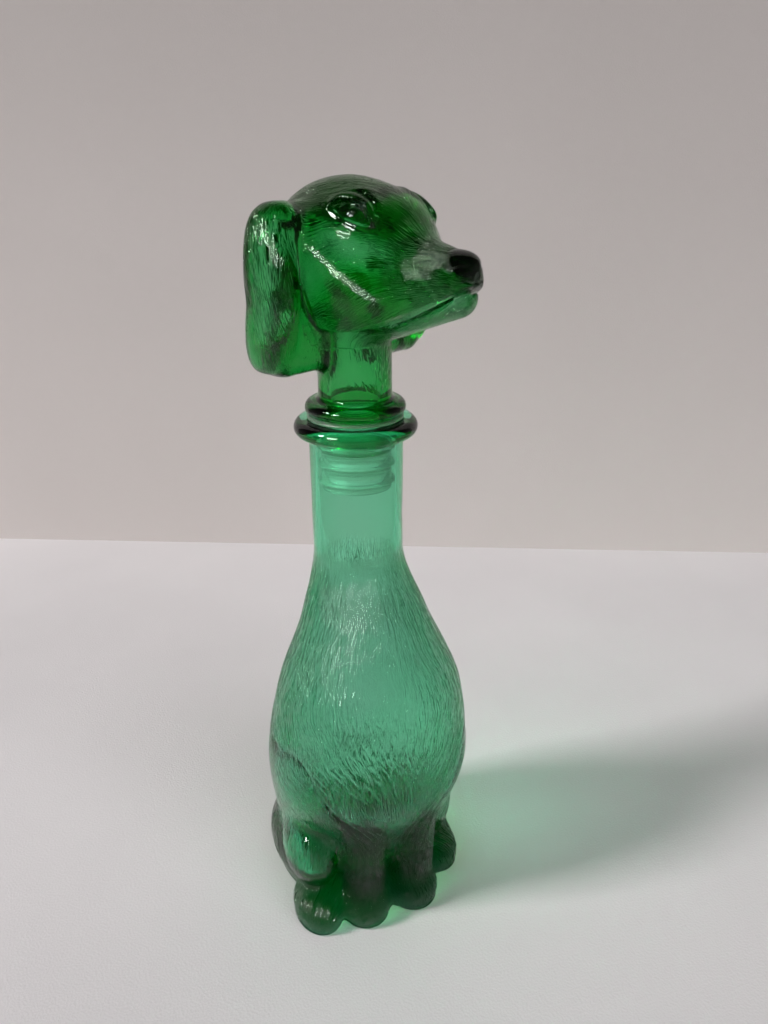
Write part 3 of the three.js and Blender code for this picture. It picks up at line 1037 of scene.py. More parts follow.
@dataclass
class BottleBody:
    """The dog's body: a hollow bottle with a neck, a lip, fur, haunches, legs and paws."""

    mouth: float = 238.5
    neck_radius: float = 20.0
    neck_wall: float = 3.2
    neck_foot: float = 180.0
    body_wall: float = 3.6
    limb_wall: float = 5.0
    base_thickness: float = 9.0
    cavity_dome: float = 22.0
    base_round: float = 2.2
    lip: Disc = Disc(231.5, 7.0, 26.2)
    side: Curve = Curve(TORSO_HEIGHTS, (38.0, 44.0, 48.8, 43.5, 28.5, 20.0, 20.0))
    front: Curve = Curve(TORSO_HEIGHTS, (31.0, 41.0, 54.5, 53.0, 36.0, 20.0, 20.0))
    back: Curve = Curve(TORSO_HEIGHTS, (38.0, 41.0, 38.0, 32.0, 22.5, 20.0, 20.0))
    front_leg: Limb = Limb((12.5, 36.0, 58.0), (12.5, 33.0, 0.0), 11.0, 11.0)
    front_paw: Lump = Lump((12.8, 35.5, 7.0), (12.6, 13.5, 12.0))
    hind_paw: Lump = Lump((34.0, 21.5, 7.0), (12.0, 17.0, 12.5))
    knee: Lump = Lump((32.5, 11.0, 34.0), (13.5, 19.5, 21.0))
    haunch: Lump = Lump((29.5, -6.0, 17.0), (17.5, 28.0, 23.0))
    plinth: Lump = Lump((0.0, 3.0, 4.0), (41.0, 38.5, 11.0))
    tail: Limb = Limb((0.0, -36.0, 32.0), (0.0, -37.0, 4.0), 6.5, 5.0)
    hind_step: float = 5.5
    stance: Point = (-2.0, 1.5, 0.0)
    seam: float = 4.0
    leg_seam: float = 3.5
    paw_seam: float = 2.2
    flank_crease: Trail = Trail(
        ((47.0, 8.0, 92.0), (46.4, 16.4, 94.4), (44.6, 22.9, 95.3), (42.6, 28.0, 95.0), (40.1, 33.6, 89.9),
         (37.2, 37.9, 82.4), (34.0, 41.1, 74.8), (28.7, 44.0, 67.3), (21.0, 45.0, 61.0)), 0.0, 30.0)
    engraving: Engraving = Engraving(groove=0.0)
    strokes: Strokes = Strokes()
    columns: int = 600
    body_rows: int = 380
    obj: bpy.types.Object = field(default=None)

    def torso_gap(self, points: np.ndarray) -> np.ndarray:
        """Signed distances of the torso and neck.

        Args:
            points: Points in mm.

        Returns:
            One distance for each point, negative inside.
        """
        side = self.side.at(points[:, 2])
        front = self.front.at(points[:, 2])
        back = self.back.at(points[:, 2])
        depth = (front + back) / 2.0
        forward = points[:, 1] - (front - back) / 2.0
        return (np.hypot(points[:, 0] / side, forward / depth) - 1.0) * np.minimum(side, depth)

    def hind_gap(self, points: np.ndarray, way: float) -> np.ndarray:
        """Signed distances of one hind leg.

        Args:
            points: Points in mm, already moved by the stance.
            way: -1 for the dog's right leg, which stands ahead, and 1 for its left.

        Returns:
            One distance for each point, negative inside.
        """
        placed = points * (way, 1.0, 1.0) + (0.0, way * self.hind_step, 0.0)
        return blend(self.paw_seam, self.knee.gap(placed), self.hind_paw.gap(placed))

    def skin_gap(self, points: np.ndarray) -> np.ndarray:
        """Signed distances of the whole outside.

        Args:
            points: Points in mm.

        Returns:
            One distance for each point, negative inside.
        """
        both = folded(points)
        seat = blend(self.seam, self.torso_gap(both), self.plinth.gap(both), self.haunch.gap(both))
        stood = points - self.stance
        fore = folded(stood)
        front = blend(self.paw_seam, self.front_leg.gap(fore), self.front_paw.gap(fore))
        legs = blend(self.leg_seam, front, self.hind_gap(stood, -1.0), self.hind_gap(stood, 1.0))
        whole = blend(self.seam, seat, legs, self.tail.gap(points))
        return blend(2.5, whole, self.lip.gap(points))

    def hollow_gap(self, points: np.ndarray) -> np.ndarray:
        """Signed distances of the hollow, before its bottom is rounded.

        Args:
            points: Points in mm.

        Returns:
            One distance for each point, negative inside.
        """
        lift = np.clip((points[:, 2] - 112.0) / (self.neck_foot - 112.0), 0.0, 1.0)
        wall = self.body_wall + (self.neck_wall - self.body_wall) * lift
        stood = points - self.stance
        torso = self.torso_gap(points) + wall
        haunch = self.haunch.gap(folded(points)) + self.limb_wall
        legs = np.minimum(self.hind_gap(stood, -1.0), self.hind_gap(stood, 1.0)) + self.limb_wall
        return blend(9.0, torso, haunch, np.maximum(legs, 16.0 - points[:, 2]))

    def trace(self, form: Gap, angles: np.ndarray, heights: np.ndarray) -> np.ndarray:
        """Finds a form's surface on level rays from the axis.

        Args:
            form: Signed distances of the form.
            angles: Angles of the rays, 0 to the front and rising to the dog's left.
            heights: Heights of the rays in mm.

        Returns:
            Radii in mm, one for each pair of angle and height.
        """
        way = np.stack([np.sin(angles), np.cos(angles)], axis=1)
        radius = np.full(len(angles), 72.0)
        live = np.arange(len(angles))
        for step in range(90):
            spot = np.column_stack([way[live] * radius[live, None], heights[live]])
            gap = form(spot)
            radius[live] -= gap * 0.7
            live = live[np.abs(gap) > 0.004]
            if not len(live):
                break
        return radius

    def fur_depth(self, points: np.ndarray) -> np.ndarray:
        """How deep the fur is engraved at each point of the outside.

        Args:
            points: Points in mm.

        Returns:
            Shares of the full depth, over 1 on the front legs and the paws.
        """
        stood = points - self.stance
        fore = folded(stood)
        knees = np.minimum(self.hind_gap(stood, -1.0), self.hind_gap(stood, 1.0))
        fronts = np.minimum(self.front_leg.gap(fore), self.front_paw.gap(fore))
        depth = ease(183.0, 160.0, points[:, 2])
        high = ease(16.0, 26.0, points[:, 2])
        depth *= 1.0 - 0.55 * ease(3.0, 0.5, knees) * high
        depth *= 1.0 + 0.9 * np.maximum(ease(3.0, 0.5, fronts), ease(3.0, 0.5, knees) * (1.0 - high))
        thigh = ease(1.0, -6.0, self.above_crease(points)) * ease(20.0, 26.0, np.abs(points[:, 0]))
        thigh *= ease(-22.0, 4.0, points[:, 1]) * ease(40.0, 52.0, points[:, 2])
        depth *= 1.0 - 0.75 * thigh
        return depth * ease(0.5, 3.0, points[:, 2])

    def above_crease(self, points: np.ndarray) -> np.ndarray:
        """Heights above the flank crease.

        Args:
            points: Points in mm.

        Returns:
            Heights in mm, negative on the thigh.
        """
        crease = self.flank_crease.points[::-1]
        line = np.interp(np.abs(points[:, 0]), [spot[0] for spot in crease], [spot[2] for spot in crease])
        return points[:, 2] - line

    def fur_flow(self, points: np.ndarray) -> np.ndarray:
        """Flow of the fur: down the coat, drawing together at the front of the belly.

        Args:
            points: Points in mm.

        Returns:
            Flow coordinates in mm. The last one runs along the strokes.
        """
        angle = np.arctan2(points[:, 0], points[:, 1] - 4.0)
        gather = 1.0 + 0.5 * ease(130.0, 50.0, points[:, 2]) * np.exp(-((angle / 1.25) ** 2))
        sway = lattice_noise(points / (16.0, 16.0, 13.0), 21)
        turned = angle * gather + 0.07 * sway
        return np.stack([46.0 * np.sin(turned), 46.0 * np.cos(turned), points[:, 2] + 2.0 * sway], axis=1)

    @staticmethod
    def fur_heading(flat: np.ndarray) -> np.ndarray:
        """Slope of the engraved strokes, which draw together at the front of the belly.

        Args:
            flat: Places on the flat map in mm, round the body from its front and up it.

        Returns:
            How far round each stroke goes for each mm up.
        """
        belly = ease(124.0, 84.0, flat[:, 1]) * ease(46.0, 58.0, flat[:, 1])
        gather = belly * ease(95.0, 55.0, np.abs(flat[:, 0]))
        still = np.zeros(len(flat))
        sway = lattice_noise(np.column_stack([flat / 17.0, still]), 71)
        return 1.05 * np.tanh(flat[:, 0] / 20.0) * gather + 0.28 * sway

    def rows(self) -> np.ndarray:
        """Heights of the outside's rows from the base to the top of the lip.

        Returns:
            Rising heights in mm.
        """
        dense = np.linspace(self.base_round, self.neck_foot, 500)
        tracks = []
        for angle in np.linspace(-math.pi, math.pi, 14)[:-1]:
            radius = self.trace(self.skin_gap, np.full(len(dense), angle), dense)
            tracks.append(np.column_stack([radius * math.sin(angle), radius * math.cos(angle), dense]))
        body = even_spacing(np.array(tracks), dense, self.body_rows)
        neck = np.linspace(self.neck_foot, self.lip.base - 2.0, 44)[1:]
        under = np.linspace(self.lip.base - 2.0, self.lip.base, 9)[1:-1]
        rim = self.lip.base + self.lip.thickness / 2.0 * (1.0 - np.cos(np.linspace(0.25, math.pi, 26)))
        return np.concatenate([body, neck, under, rim])

    def build(self) -> None:
        """Builds the bottle as one closed skin, outside and inside."""
        dense = np.linspace(-math.pi, math.pi, 1441)
        tracks = []
        for height in (2.4, 6.0, 10.5, 18.0, 26.0, 90.0, 130.0):
            radius = self.trace(self.skin_gap, dense, np.full(len(dense), height))
            level = np.full(len(dense), height)
            tracks.append(np.column_stack([radius * np.sin(dense), radius * np.cos(dense), level]))
        angles = even_spacing(np.array(tracks), dense, self.columns + 1)[:-1]
        heights = self.rows()
        grid_angle = np.tile(angles, len(heights))
        grid_height = np.repeat(heights, self.columns)
        radius = self.trace(self.skin_gap, grid_angle, grid_height).reshape(len(heights), self.columns)
        way = np.stack([np.sin(angles), np.cos(angles)], axis=1)
        outside = np.concatenate(
            [radius[:, :, None] * way, np.repeat(heights[:, None, None], self.columns, axis=1)], axis=2
        )
        foot = outside[0]
        centre = np.array([0.0, 2.0, 0.0])
        under = []
        for share in (0.3, 0.6, 0.85):
            under.append(centre + (foot * (1.0, 1.0, 0.0) - centre) * share)
        for turn in np.linspace(0.0, math.pi / 2.0, 7)[:-1]:
            inset = self.base_round * (1.0 - math.sin(turn))
            ring = foot.copy()
            ring[:, :2] -= way * inset
            ring[:, 2] = self.base_round * (1.0 - math.cos(turn))
            under.append(ring)
        inside = self.inner_rings(angles)
        rings = np.concatenate([np.array(under), outside, inside])
        skin = closed_sock(rings, (0.0, 2.0, 0.0), (0.0, 4.0, self.base_thickness))
        start = len(under) * self.columns
        self.engrave(skin, slice(start, start + outside.shape[0] * self.columns))
        self.obj = skin.to_object("bottle_glass")

    def inner_rings(self, angles: np.ndarray) -> np.ndarray:
        """Rings of the mouth and the hollow, from the lip down to the bottom of the hollow.

        Args:
            angles: Angles of the columns.

        Returns:
            Rings of points in mm.
        """
        bore = self.neck_radius - self.neck_wall
        way = np.stack([np.sin(angles), np.cos(angles)], axis=1)
        rings = []
        edge = [(20.8, 0.0), (19.2, 0.0), (bore + 1.2, 0.0), (bore + 0.75, -0.08), (bore + 0.35, -0.35),
                (bore + 0.08, -0.75), (bore, -1.2)]
        for radius, drop in edge:
            rings.append(np.column_stack([way * radius, np.full(len(angles), self.mouth + drop)]))
        neck = np.linspace(self.mouth - 2.0, self.neck_foot, 30)
        dome_top = self.base_thickness + self.cavity_dome
        walls = np.linspace(self.neck_foot, dome_top, 90)[1:]
        turn = np.linspace(0.0, math.pi / 2.0, 30)[1:-1]
        dome = dome_top - self.cavity_dome * np.sin(turn)
        heights = np.concatenate([neck, walls, dome])
        columns = len(angles)
        radius = self.trace(self.hollow_gap, np.tile(angles, len(heights)), np.repeat(heights, columns))
        rise = np.clip((heights - self.base_thickness) / self.cavity_dome, 0.0, 1.0)
        bowl = np.sqrt(np.maximum(1.0 - (1.0 - rise) ** 2, 0.0))
        centre = np.array([0.0, 4.0])
        for height, share, ring_radius in zip(heights, bowl, radius.reshape(-1, columns)):
            ring = np.column_stack([way * ring_radius[:, None], np.full(columns, height)])
            ripple = lattice_noise(ring / (15.0, 15.0, 26.0), 33) * ease(185.0, 150.0, ring[:, 2])
            ring[:, :2] += way * (0.5 * ripple)[:, None]
            ring[:, :2] = centre + (ring[:, :2] - centre) * share if share < 1.0 else ring[:, :2]
            rings.append(ring)
        return np.array(rings)

    def engrave(self, skin: Skin, outer: slice) -> None:
        """Cuts the fur and the flank creases into the outside.

        Args:
            skin: Skin of the bottle.
            outer: Points that belong to the outside.
        """
        points = skin.points[outer]
        normals = skin.normals()[outer]
        depth = self.fur_depth(points)
        flow = self.fur_flow(points)
        angle = np.arctan2(points[:, 0], points[:, 1] - 4.0)
        flat = np.column_stack([angle * self.strokes.reference, points[:, 2]])
        cut = self.engraving.cut(flow, depth) + depth * self.strokes.cut(flat, self.fur_heading)
        crease = self.flank_crease.gap(folded(points))
        thigh_side = ease(1.8, -2.4, self.above_crease(points))
        fold = 0.3 * np.exp(-((crease / 2.0) ** 2)) + 2.0 * np.exp(-crease / 8.0) * thigh_side
        cut += fold * ease(20.0, 27.0, np.abs(points[:, 0])) * ease(-10.0, 6.0, points[:, 1])
        melt = 0.16 * (1.0 + lattice_noise(points / (9.0, 9.0, 14.0), 5)) * ease(229.0, 180.0, points[:, 2])
        skin.points[outer] = points - normals * (cut + melt)[:, None]
        skin.flow[outer] = flow
        skin.depth[outer] = depth

    def dress(self, painter: Painter) -> None:
        """Gives the bottle its glass and its place in the frame.

        Args:
            painter: Maker of the materials.
        """
        settle(self.obj, painter.glass(BODY_GLASS), Node.BOTTLE, Body.BOTTLE, Slot.BODY_GLASS)


@dataclass
class HeadStopper:
    """The dog's head: a hollow stopper with a plug, a bead, a face and hanging ears."""

    seat: float = 240.3
    turn: float = 23.0
    plug_length: float = 15.0
    plug_radius: float = 13.4
    plug_wall: float = 3.0
    neck_radius: float = 15.4
    core: float = 62.0
    wall: float = 3.8
    ear_wall: float = 2.6
    thick_top: float = 86.0
    crown: float = 78.0
    bead: Disc = Disc(0.0, 6.2, 21.2)
    skull: Lump = Lump((0.0, -1.5, 64.0), (29.0, 34.0, 28.0))
    forehead: Lump = Lump((0.0, 16.0, 68.0), (21.0, 20.0, 18.0))
    cheek: Lump = Lump((15.0, 16.0, 50.0), (13.5, 24.0, 16.0))
    jowl: Trail = Trail(
        ((23.5, -1.0, 72.0), (19.0, 14.0, 54.0), (14.5, 31.0, 48.0), (4.0, 45.0, 55.0)), 8.7, 40.0)
    muzzle: Limb = Limb((0.0, 24.0, 57.0), (0.0, 50.0, 57.5), 18.0, 10.5)
    jaw: Limb = Limb((0.0, 12.0, 43.0), (0.0, 52.0, 51.5), 13.0, 7.4)
    nose: Lump = Lump((0.0, 54.3, 62.5), (6.8, 5.6, 4.8))
    nostril: Trail = Trail(((4.6, 59.6, 62.8), (6.8, 58.0, 62.6), (8.2, 55.6, 61.6), (8.6, 53.4, 62.2)), 0.9)
    nose_edge: Trail = Trail(
        ((9.8, 51.4, 61.4), (9.0, 54.6, 58.6), (5.0, 58.6, 57.2), (0.0, 60.6, 57.0)), 0.35)
    philtrum: Trail = Trail(((0.0, 61.0, 59.5), (0.0, 60.2, 56.5), (0.0, 59.0, 53.5)), 0.9)
    ear: Lump = Lump((38.6, -2.8, 47.0), (6.2, 12.4, 25.5), 2.8)
    ear_lean: float = 0.22
    ear_root: Lump = Lump((31.0, -6.0, 65.5), (13.0, 8.5, 18.0), 2.6)
    ear_web: Slab = Slab((20.0, -4.5, 43.5), (18.5, 7.0, 23.0), 6.0)
    eye_centre: Point = (20.2, 19.6, 80.2)
    eye_corner: Point = (15.0, 27.4, 75.8)
    cheek_ridge: Trail = Trail(
        ((33.0, 2.5, 80.0), (30.5, 5.4, 75.0), (28.6, 8.5, 69.0), (27.4, 14.0, 63.5), (26.4, 20.0, 59.0),
         (25.7, 27.6, 55.0), (22.5, 34.5, 52.5), (15.5, 41.5, 54.0), (10.5, 48.0, 58.5)), 0.0, 16.0)
    mouth_back: float = 18.0
    mouth_front: float = 57.0
    mouth_corner: float = 37.5
    mouth_lip: float = 53.5
    engraving: Engraving = Engraving(pitch=1.25, length=9.0, groove=0.13, clump=0.2, seed=19)
    cell: float = 0.62
    obj: bpy.types.Object = field(default=None)

    def ear_gap(self, spot: np.ndarray) -> np.ndarray:
        """Signed distances of one hanging ear.

        Args:
            spot: Points in mm, folded onto the dog's left side.

        Returns:
            One distance for each point, negative inside.
        """
        hung = spot.copy()
        hung[:, 1] += self.ear_lean * np.maximum(self.ear.centre[2] - spot[:, 2], 0.0)
        return blend(4.0, self.ear.gap(hung), self.ear_root.gap(spot))

    def outer_gap(self, points: np.ndarray) -> np.ndarray:
        """Signed distances of the head, neck, bead and plug, taken as solid.

        Args:
            points: Points in mm above the bead's seat, with the face forward.

        Returns:
            One distance for each point, negative inside.
        """
        spot = folded(points)
        upper = blend(7.0, self.muzzle.gap(spot), self.cheek.gap(spot), self.jowl.gap(spot))
        share = (spot[:, 1] - self.mouth_back) / (self.mouth_front - self.mouth_back)
        mouth = self.mouth_corner + (self.mouth_lip - self.mouth_corner) * np.clip(share, 0.0, 1.2) ** 1.4
        lips = carve(1.6, upper, spot[:, 2] - mouth)
        head = blend(7.0, self.skull.gap(spot), self.forehead.gap(spot), lips)
        head = blend(1.0, head, self.jaw.gap(spot))
        line = np.maximum(np.abs(spot[:, 2] - mouth) - 0.7, np.maximum(-head - 2.5, 14.0 - spot[:, 1]))
        head = carve(0.8, head, line)
        ears = blend(3.0, self.ear_gap(spot), self.ear_web.gap(spot))
        across = np.hypot(spot[:, 0], spot[:, 1])
        neck = np.maximum(across - self.neck_radius, np.maximum(-spot[:, 2], spot[:, 2] - self.core))
        whole = blend(3.0, head, blend(6.0, ears, neck))
        whole = blend(2.0, whole, self.nose.gap(spot)) - self.eye_relief(spot)
        whole -= 1.8 * np.exp(-((self.cheek_ridge.gap(spot) / 4.6) ** 2))
        for tool in (self.nostril, self.nose_edge, self.philtrum):
            whole = carve(0.9, whole, tool.gap(spot))
        whole = blend(3.0, whole, self.bead.gap(spot))
        drop = -self.plug_length
        plug = np.maximum(across - self.plug_radius, np.maximum(spot[:, 2] - 3.0, drop - spot[:, 2]))
        chamfer = (across - self.plug_radius + drop - spot[:, 2] + 1.0) * math.sqrt(0.5)
        return np.minimum(whole, np.maximum(plug, chamfer))

    def eye_plane(self, spot: np.ndarray) -> tuple[np.ndarray, np.ndarray, np.ndarray]:
        """Places points in the plane of the eye.

        Args:
            spot: Points in mm, folded onto the dog's left side.

        Returns:
            Distances along the eye toward the nose, up across it, and out of the face.
        """
        along = np.subtract(self.eye_corner, self.eye_centre)
        along = along / np.linalg.norm(along)
        out = np.array((0.78, 0.44, 0.44))
        out = out - along * (out @ along)
        out = out / np.linalg.norm(out)
        up = np.cross(along, out)
        up = up * np.sign(up[2])
        offset = spot - self.eye_centre
        return offset @ along, offset @ up, offset @ out

    def eye_relief(self, spot: np.ndarray) -> np.ndarray:
        """Height of the lids, the eyeball, the iris and the brow above the plain face.

        Args:
            spot: Points in mm, folded onto the dog's left side.

        Returns:
            Heights in mm.
        """
        along, up, out = self.eye_plane(spot)
        arch = np.clip(1.0 - (along / 8.2) ** 2, 0.0, 1.0)
        upper = 4.0 * arch ** 0.75 - 0.12 * along - 0.6
        lower = -2.0 * arch ** 0.8 - 0.10 * along - 0.6
        inside = ease(-0.8, 0.8, np.minimum(upper - up, up - lower)) * ease(8.8, 7.2, np.abs(along))
        ball = np.sqrt(np.maximum(1.0 - (along / 6.4) ** 2 - ((up - 0.4) / 5.4) ** 2, 0.0))
        middle = np.hypot(along - 0.4, up - 0.9)
        iris = 0.15 * np.exp(-(((middle - 2.6) / 0.55) ** 2)) - 0.6 * ease(1.7, 0.7, middle)
        eyeball = -1.9 + 2.4 * ball - iris
        span = ease(11.5, 7.5, np.abs(along))
        lid = 2.2 * np.sqrt(np.maximum(1.0 - ((up - upper - 2.0) / 2.3) ** 2, 0.0)) * span
        under = 0.45 * np.sqrt(np.maximum(1.0 - ((lower - up - 0.9) / 1.2) ** 2, 0.0)) * span
        crease = -0.35 * np.exp(-(((up - upper - 5.0) / 1.0) ** 2)) * span
        brow = 1.0 * np.exp(-(((up - upper - 7.6) / 2.6) ** 2)) * ease(13.0, 5.0, np.abs(along))
        near = ease(9.0, 5.0, np.abs(out))
        return near * (inside * eyeball + (1.0 - inside) * (lid + under + crease + brow))

    def hollow_gap(self, points: np.ndarray) -> np.ndarray:
        """Signed distances of the hollow, which is plainer than the outside.

        Args:
            points: Points in mm above the bead's seat, with the face forward.

        Returns:
            One distance for each point, negative inside.
        """
        spot = folded(points)
        masses = (self.skull, self.forehead, self.muzzle, self.jaw)
        chamber = blend(8.0, *(mass.gap(spot) for mass in masses))
        roof = np.minimum(self.crown, self.thick_top - 0.58 * spot[:, 1])
        blown = -blend(9.0, -chamber - self.wall, roof - spot[:, 2])
        pocket = self.ear_gap(spot) + self.ear_wall
        blown = blend(3.0, blown, pocket)
        bore = np.hypot(spot[:, 0], spot[:, 1]) - (self.plug_radius - self.plug_wall)
        bore = np.maximum(bore, spot[:, 2] - self.core * 0.8)
        wave = 0.35 * lattice_noise(points / 13.0, 41)
        return blend(6.0, blown + wave * ease(14.0, 26.0, spot[:, 2]), bore)

    def glass_gap(self, points: np.ndarray) -> np.ndarray:
        """Signed distances of the glass itself.

        Args:
            points: Points in mm above the bead's seat, with the face forward.

        Returns:
            One distance for each point, negative inside.
        """
        outer = self.outer_gap(points)
        return carve(0.8, outer, self.hollow_gap(points))

    def fur_depth(self, points: np.ndarray) -> np.ndarray:
        """How deep the fur is engraved at each point of the outside.

        Args:
            points: Points in mm above the bead's seat.

        Returns:
            Shares from 0 to 1.
        """
        spot = folded(points)
        forward, height = spot[:, 1], spot[:, 2]
        muzzle = ease(28.0, 37.0, forward) * ease(48.0, 56.0, height) * ease(56.0, 50.0, forward)
        crown = 0.75 * ease(80.0, 87.0, height)
        scruff = 0.8 * ease(-2.0, -16.0, forward) * ease(18.0, 26.0, height)
        ears = 0.9 * ease(1.5, -0.5, self.ear_gap(spot))
        jowl = 0.9 * ease(52.0, 46.0, height) * ease(4.0, 14.0, forward)
        ridge = np.exp(-((self.cheek_ridge.gap(spot) / 4.0) ** 2))
        depth = np.maximum.reduce([muzzle, crown, scruff, ears, jowl, ridge, np.full(len(points), 0.28)])
        along, up, _ = self.eye_plane(spot)
        depth *= ease(6.5, 9.0, np.hypot(along * 0.75, up - 1.0)) * ease(0.4, 2.5, self.nose.gap(spot))
        return depth * ease(9.0, 20.0, height) * ease(0.2, 1.6, self.hollow_gap(points))

    def fur_flow(self, points: np.ndarray) -> np.ndarray:
        """Flow of the fur: back and down from the nose, and straight down the ears.

        Args:
            points: Points in mm above the bead's seat.

        Returns:
            Flow coordinates in mm. The last one runs along the strokes.
        """
        spot = folded(points)
        sway = lattice_noise(points / 11.0, 23)
        angle = np.arctan2(spot[:, 0], spot[:, 2] - 52.0)
        turned = angle + 0.016 * spot[:, 1] + 0.08 * sway
        face = np.stack([30.0 * np.cos(turned), 30.0 * np.sin(turned), spot[:, 1] - 0.4 * spot[:, 2]], axis=1)
        lean = spot[:, 1] + 0.12 * (spot[:, 2] - 50.0) + 1.2 * sway
        hang = np.stack([lean + 60.0, spot[:, 0] * 0.5, spot[:, 2]], axis=1)
        on_ear = self.ear_gap(spot) < self.skull.gap(spot) - 2.0
        low = spot[:, 2] < 30.0
        flow = np.where((on_ear | low)[:, None], hang, face)
        flow[:, 0] += np.where(points[:, 0] < 0.0, 200.0, 0.0)
        return flow

    def build(self) -> None:
        """Builds the head as one closed skin, outside and inside."""
        low, high = (-50.0, -42.0, -18.0), (50.0, 66.0, 98.0)
        points, quads = surface_net(self.glass_gap, low, high, self.cell)
        for _ in range(2):
            slope = slope_of(self.glass_gap, points)
            gap = self.glass_gap(points)
            size = np.maximum((slope * slope).sum(1), 0.25)
            points -= slope * np.clip(gap / size, -0.3, 0.3)[:, None]
        flat = points[:, 2] < 0.02 - self.plug_length
        points[flat, 2] = -self.plug_length
        points[:, 2] = np.maximum(points[:, 2], -self.plug_length)
        skin = Skin(points, quads, np.zeros((0, 3), dtype=int), self.fur_flow(points), self.fur_depth(points))
        cut = self.engraving.cut(skin.flow, skin.depth)
        skin.points = points - skin.normals() * cut[:, None]
        spin = math.radians(self.turn)
        side = skin.points[:, 0] * math.cos(spin) + skin.points[:, 1] * math.sin(spin)
        forward = skin.points[:, 1] * math.cos(spin) - skin.points[:, 0] * math.sin(spin)
        skin.points = np.column_stack([side, forward, skin.points[:, 2] + self.seat])
        self.obj = skin.to_object("head_glass")

    def dress(self, painter: Painter) -> None:
        """Gives the head its glass and its place in the frame.

        Args:
            painter: Maker of the materials.
        """
        settle(self.obj, painter.glass(HEAD_GLASS), Node.HEAD, Body.STOPPER, Slot.HEAD_GLASS)


@dataclass
class StopperSleeve:
    """The plastic sleeve on the plug: a tube with a thin flange and four sealing rings."""

    outer: float = 15.1
    inner: float = 13.7
    ring: float = 16.5
    ring_height: float = 2.4
    ring_count: int = 4
    flange: float = 20.4
    flange_base: float = 238.8
    flange_thickness: float = 1.2
    length: float = 30.0
    columns: int = 144
    obj: bpy.types.Object = field(default=None)

    def profile(self) -> list[tuple[float, float]]:
        """Radius and height of the sleeve's section, up the outside and down the inside.

        Returns:
            Points in mm.
        """
        bottom = self.flange_base - self.length
        section = [(self.inner + 0.15, bottom), (self.outer - 0.4, bottom), (self.outer - 0.1, bottom + 0.12),
                   (self.outer, bottom + 0.45)]
        gap = self.length / self.ring_count
        for count in range(self.ring_count):
            middle = bottom + gap * (count + 0.5)
            for turn in np.linspace(0.0, 1.0, 13):
                bulge = math.sin(math.pi * turn) ** 0.8
                section.append((self.outer + (self.ring - self.outer) * bulge,
                                middle + self.ring_height * (turn - 0.5)))
        top = self.flange_base + self.flange_thickness
        section += [(self.outer, self.flange_base - 0.5), (self.outer + 0.3, self.flange_base - 0.05),
                    (self.outer + 0.8, self.flange_base)]
        half = self.flange_thickness / 2.0
        for turn in np.linspace(-math.pi / 2.0, math.pi / 2.0, 9):
            section.append(
                (self.flange - half + half * math.cos(turn), self.flange_base + half + half * math.sin(turn))
            )
        section += [(self.inner + 0.5, top), (self.inner + 0.12, top - 0.12), (self.inner, top - 0.5)]
        section += [(self.inner, height) for height in np.linspace(top - 2.0, bottom + 2.0, 12)]
        section += [(self.inner, bottom + 0.4)]
        return section

    def build(self) -> None:
        """Builds the sleeve as one closed ring of its section."""
        section = np.array(self.profile())
        angles = np.linspace(0.0, 2.0 * math.pi, self.columns, endpoint=False)
        rings = np.stack(
            [section[:, :1] * np.sin(angles), section[:, :1] * np.cos(angles),
             np.repeat(section[:, 1:], self.columns, axis=1)], axis=2
        )
        count = len(section)
        row, column = np.meshgrid(np.arange(count), np.arange(self.columns), indexing="ij")
        below, after = (row + 1) % count, (column + 1) % self.columns
        quads = np.stack([below * self.columns + column, below * self.columns + after,
                          row * self.columns + after, row * self.columns + column], axis=-1).reshape(-1, 4)
        points = rings.reshape(-1, 3)
        skin = Skin(points, quads, np.zeros((0, 3), dtype=int), points.copy(), np.zeros(len(points)))
        self.obj = skin.to_object("sleeve_plastic")

    def dress(self, painter: Painter) -> None:
        """Gives the sleeve its plastic and its place in the frame.

        Args:
            painter: Maker of the materials.
        """
        settle(self.obj, painter.plastic(SLEEVE), Node.SLEEVE, Body.SLEEVE, Slot.SLEEVE_PLASTIC)


# Stage

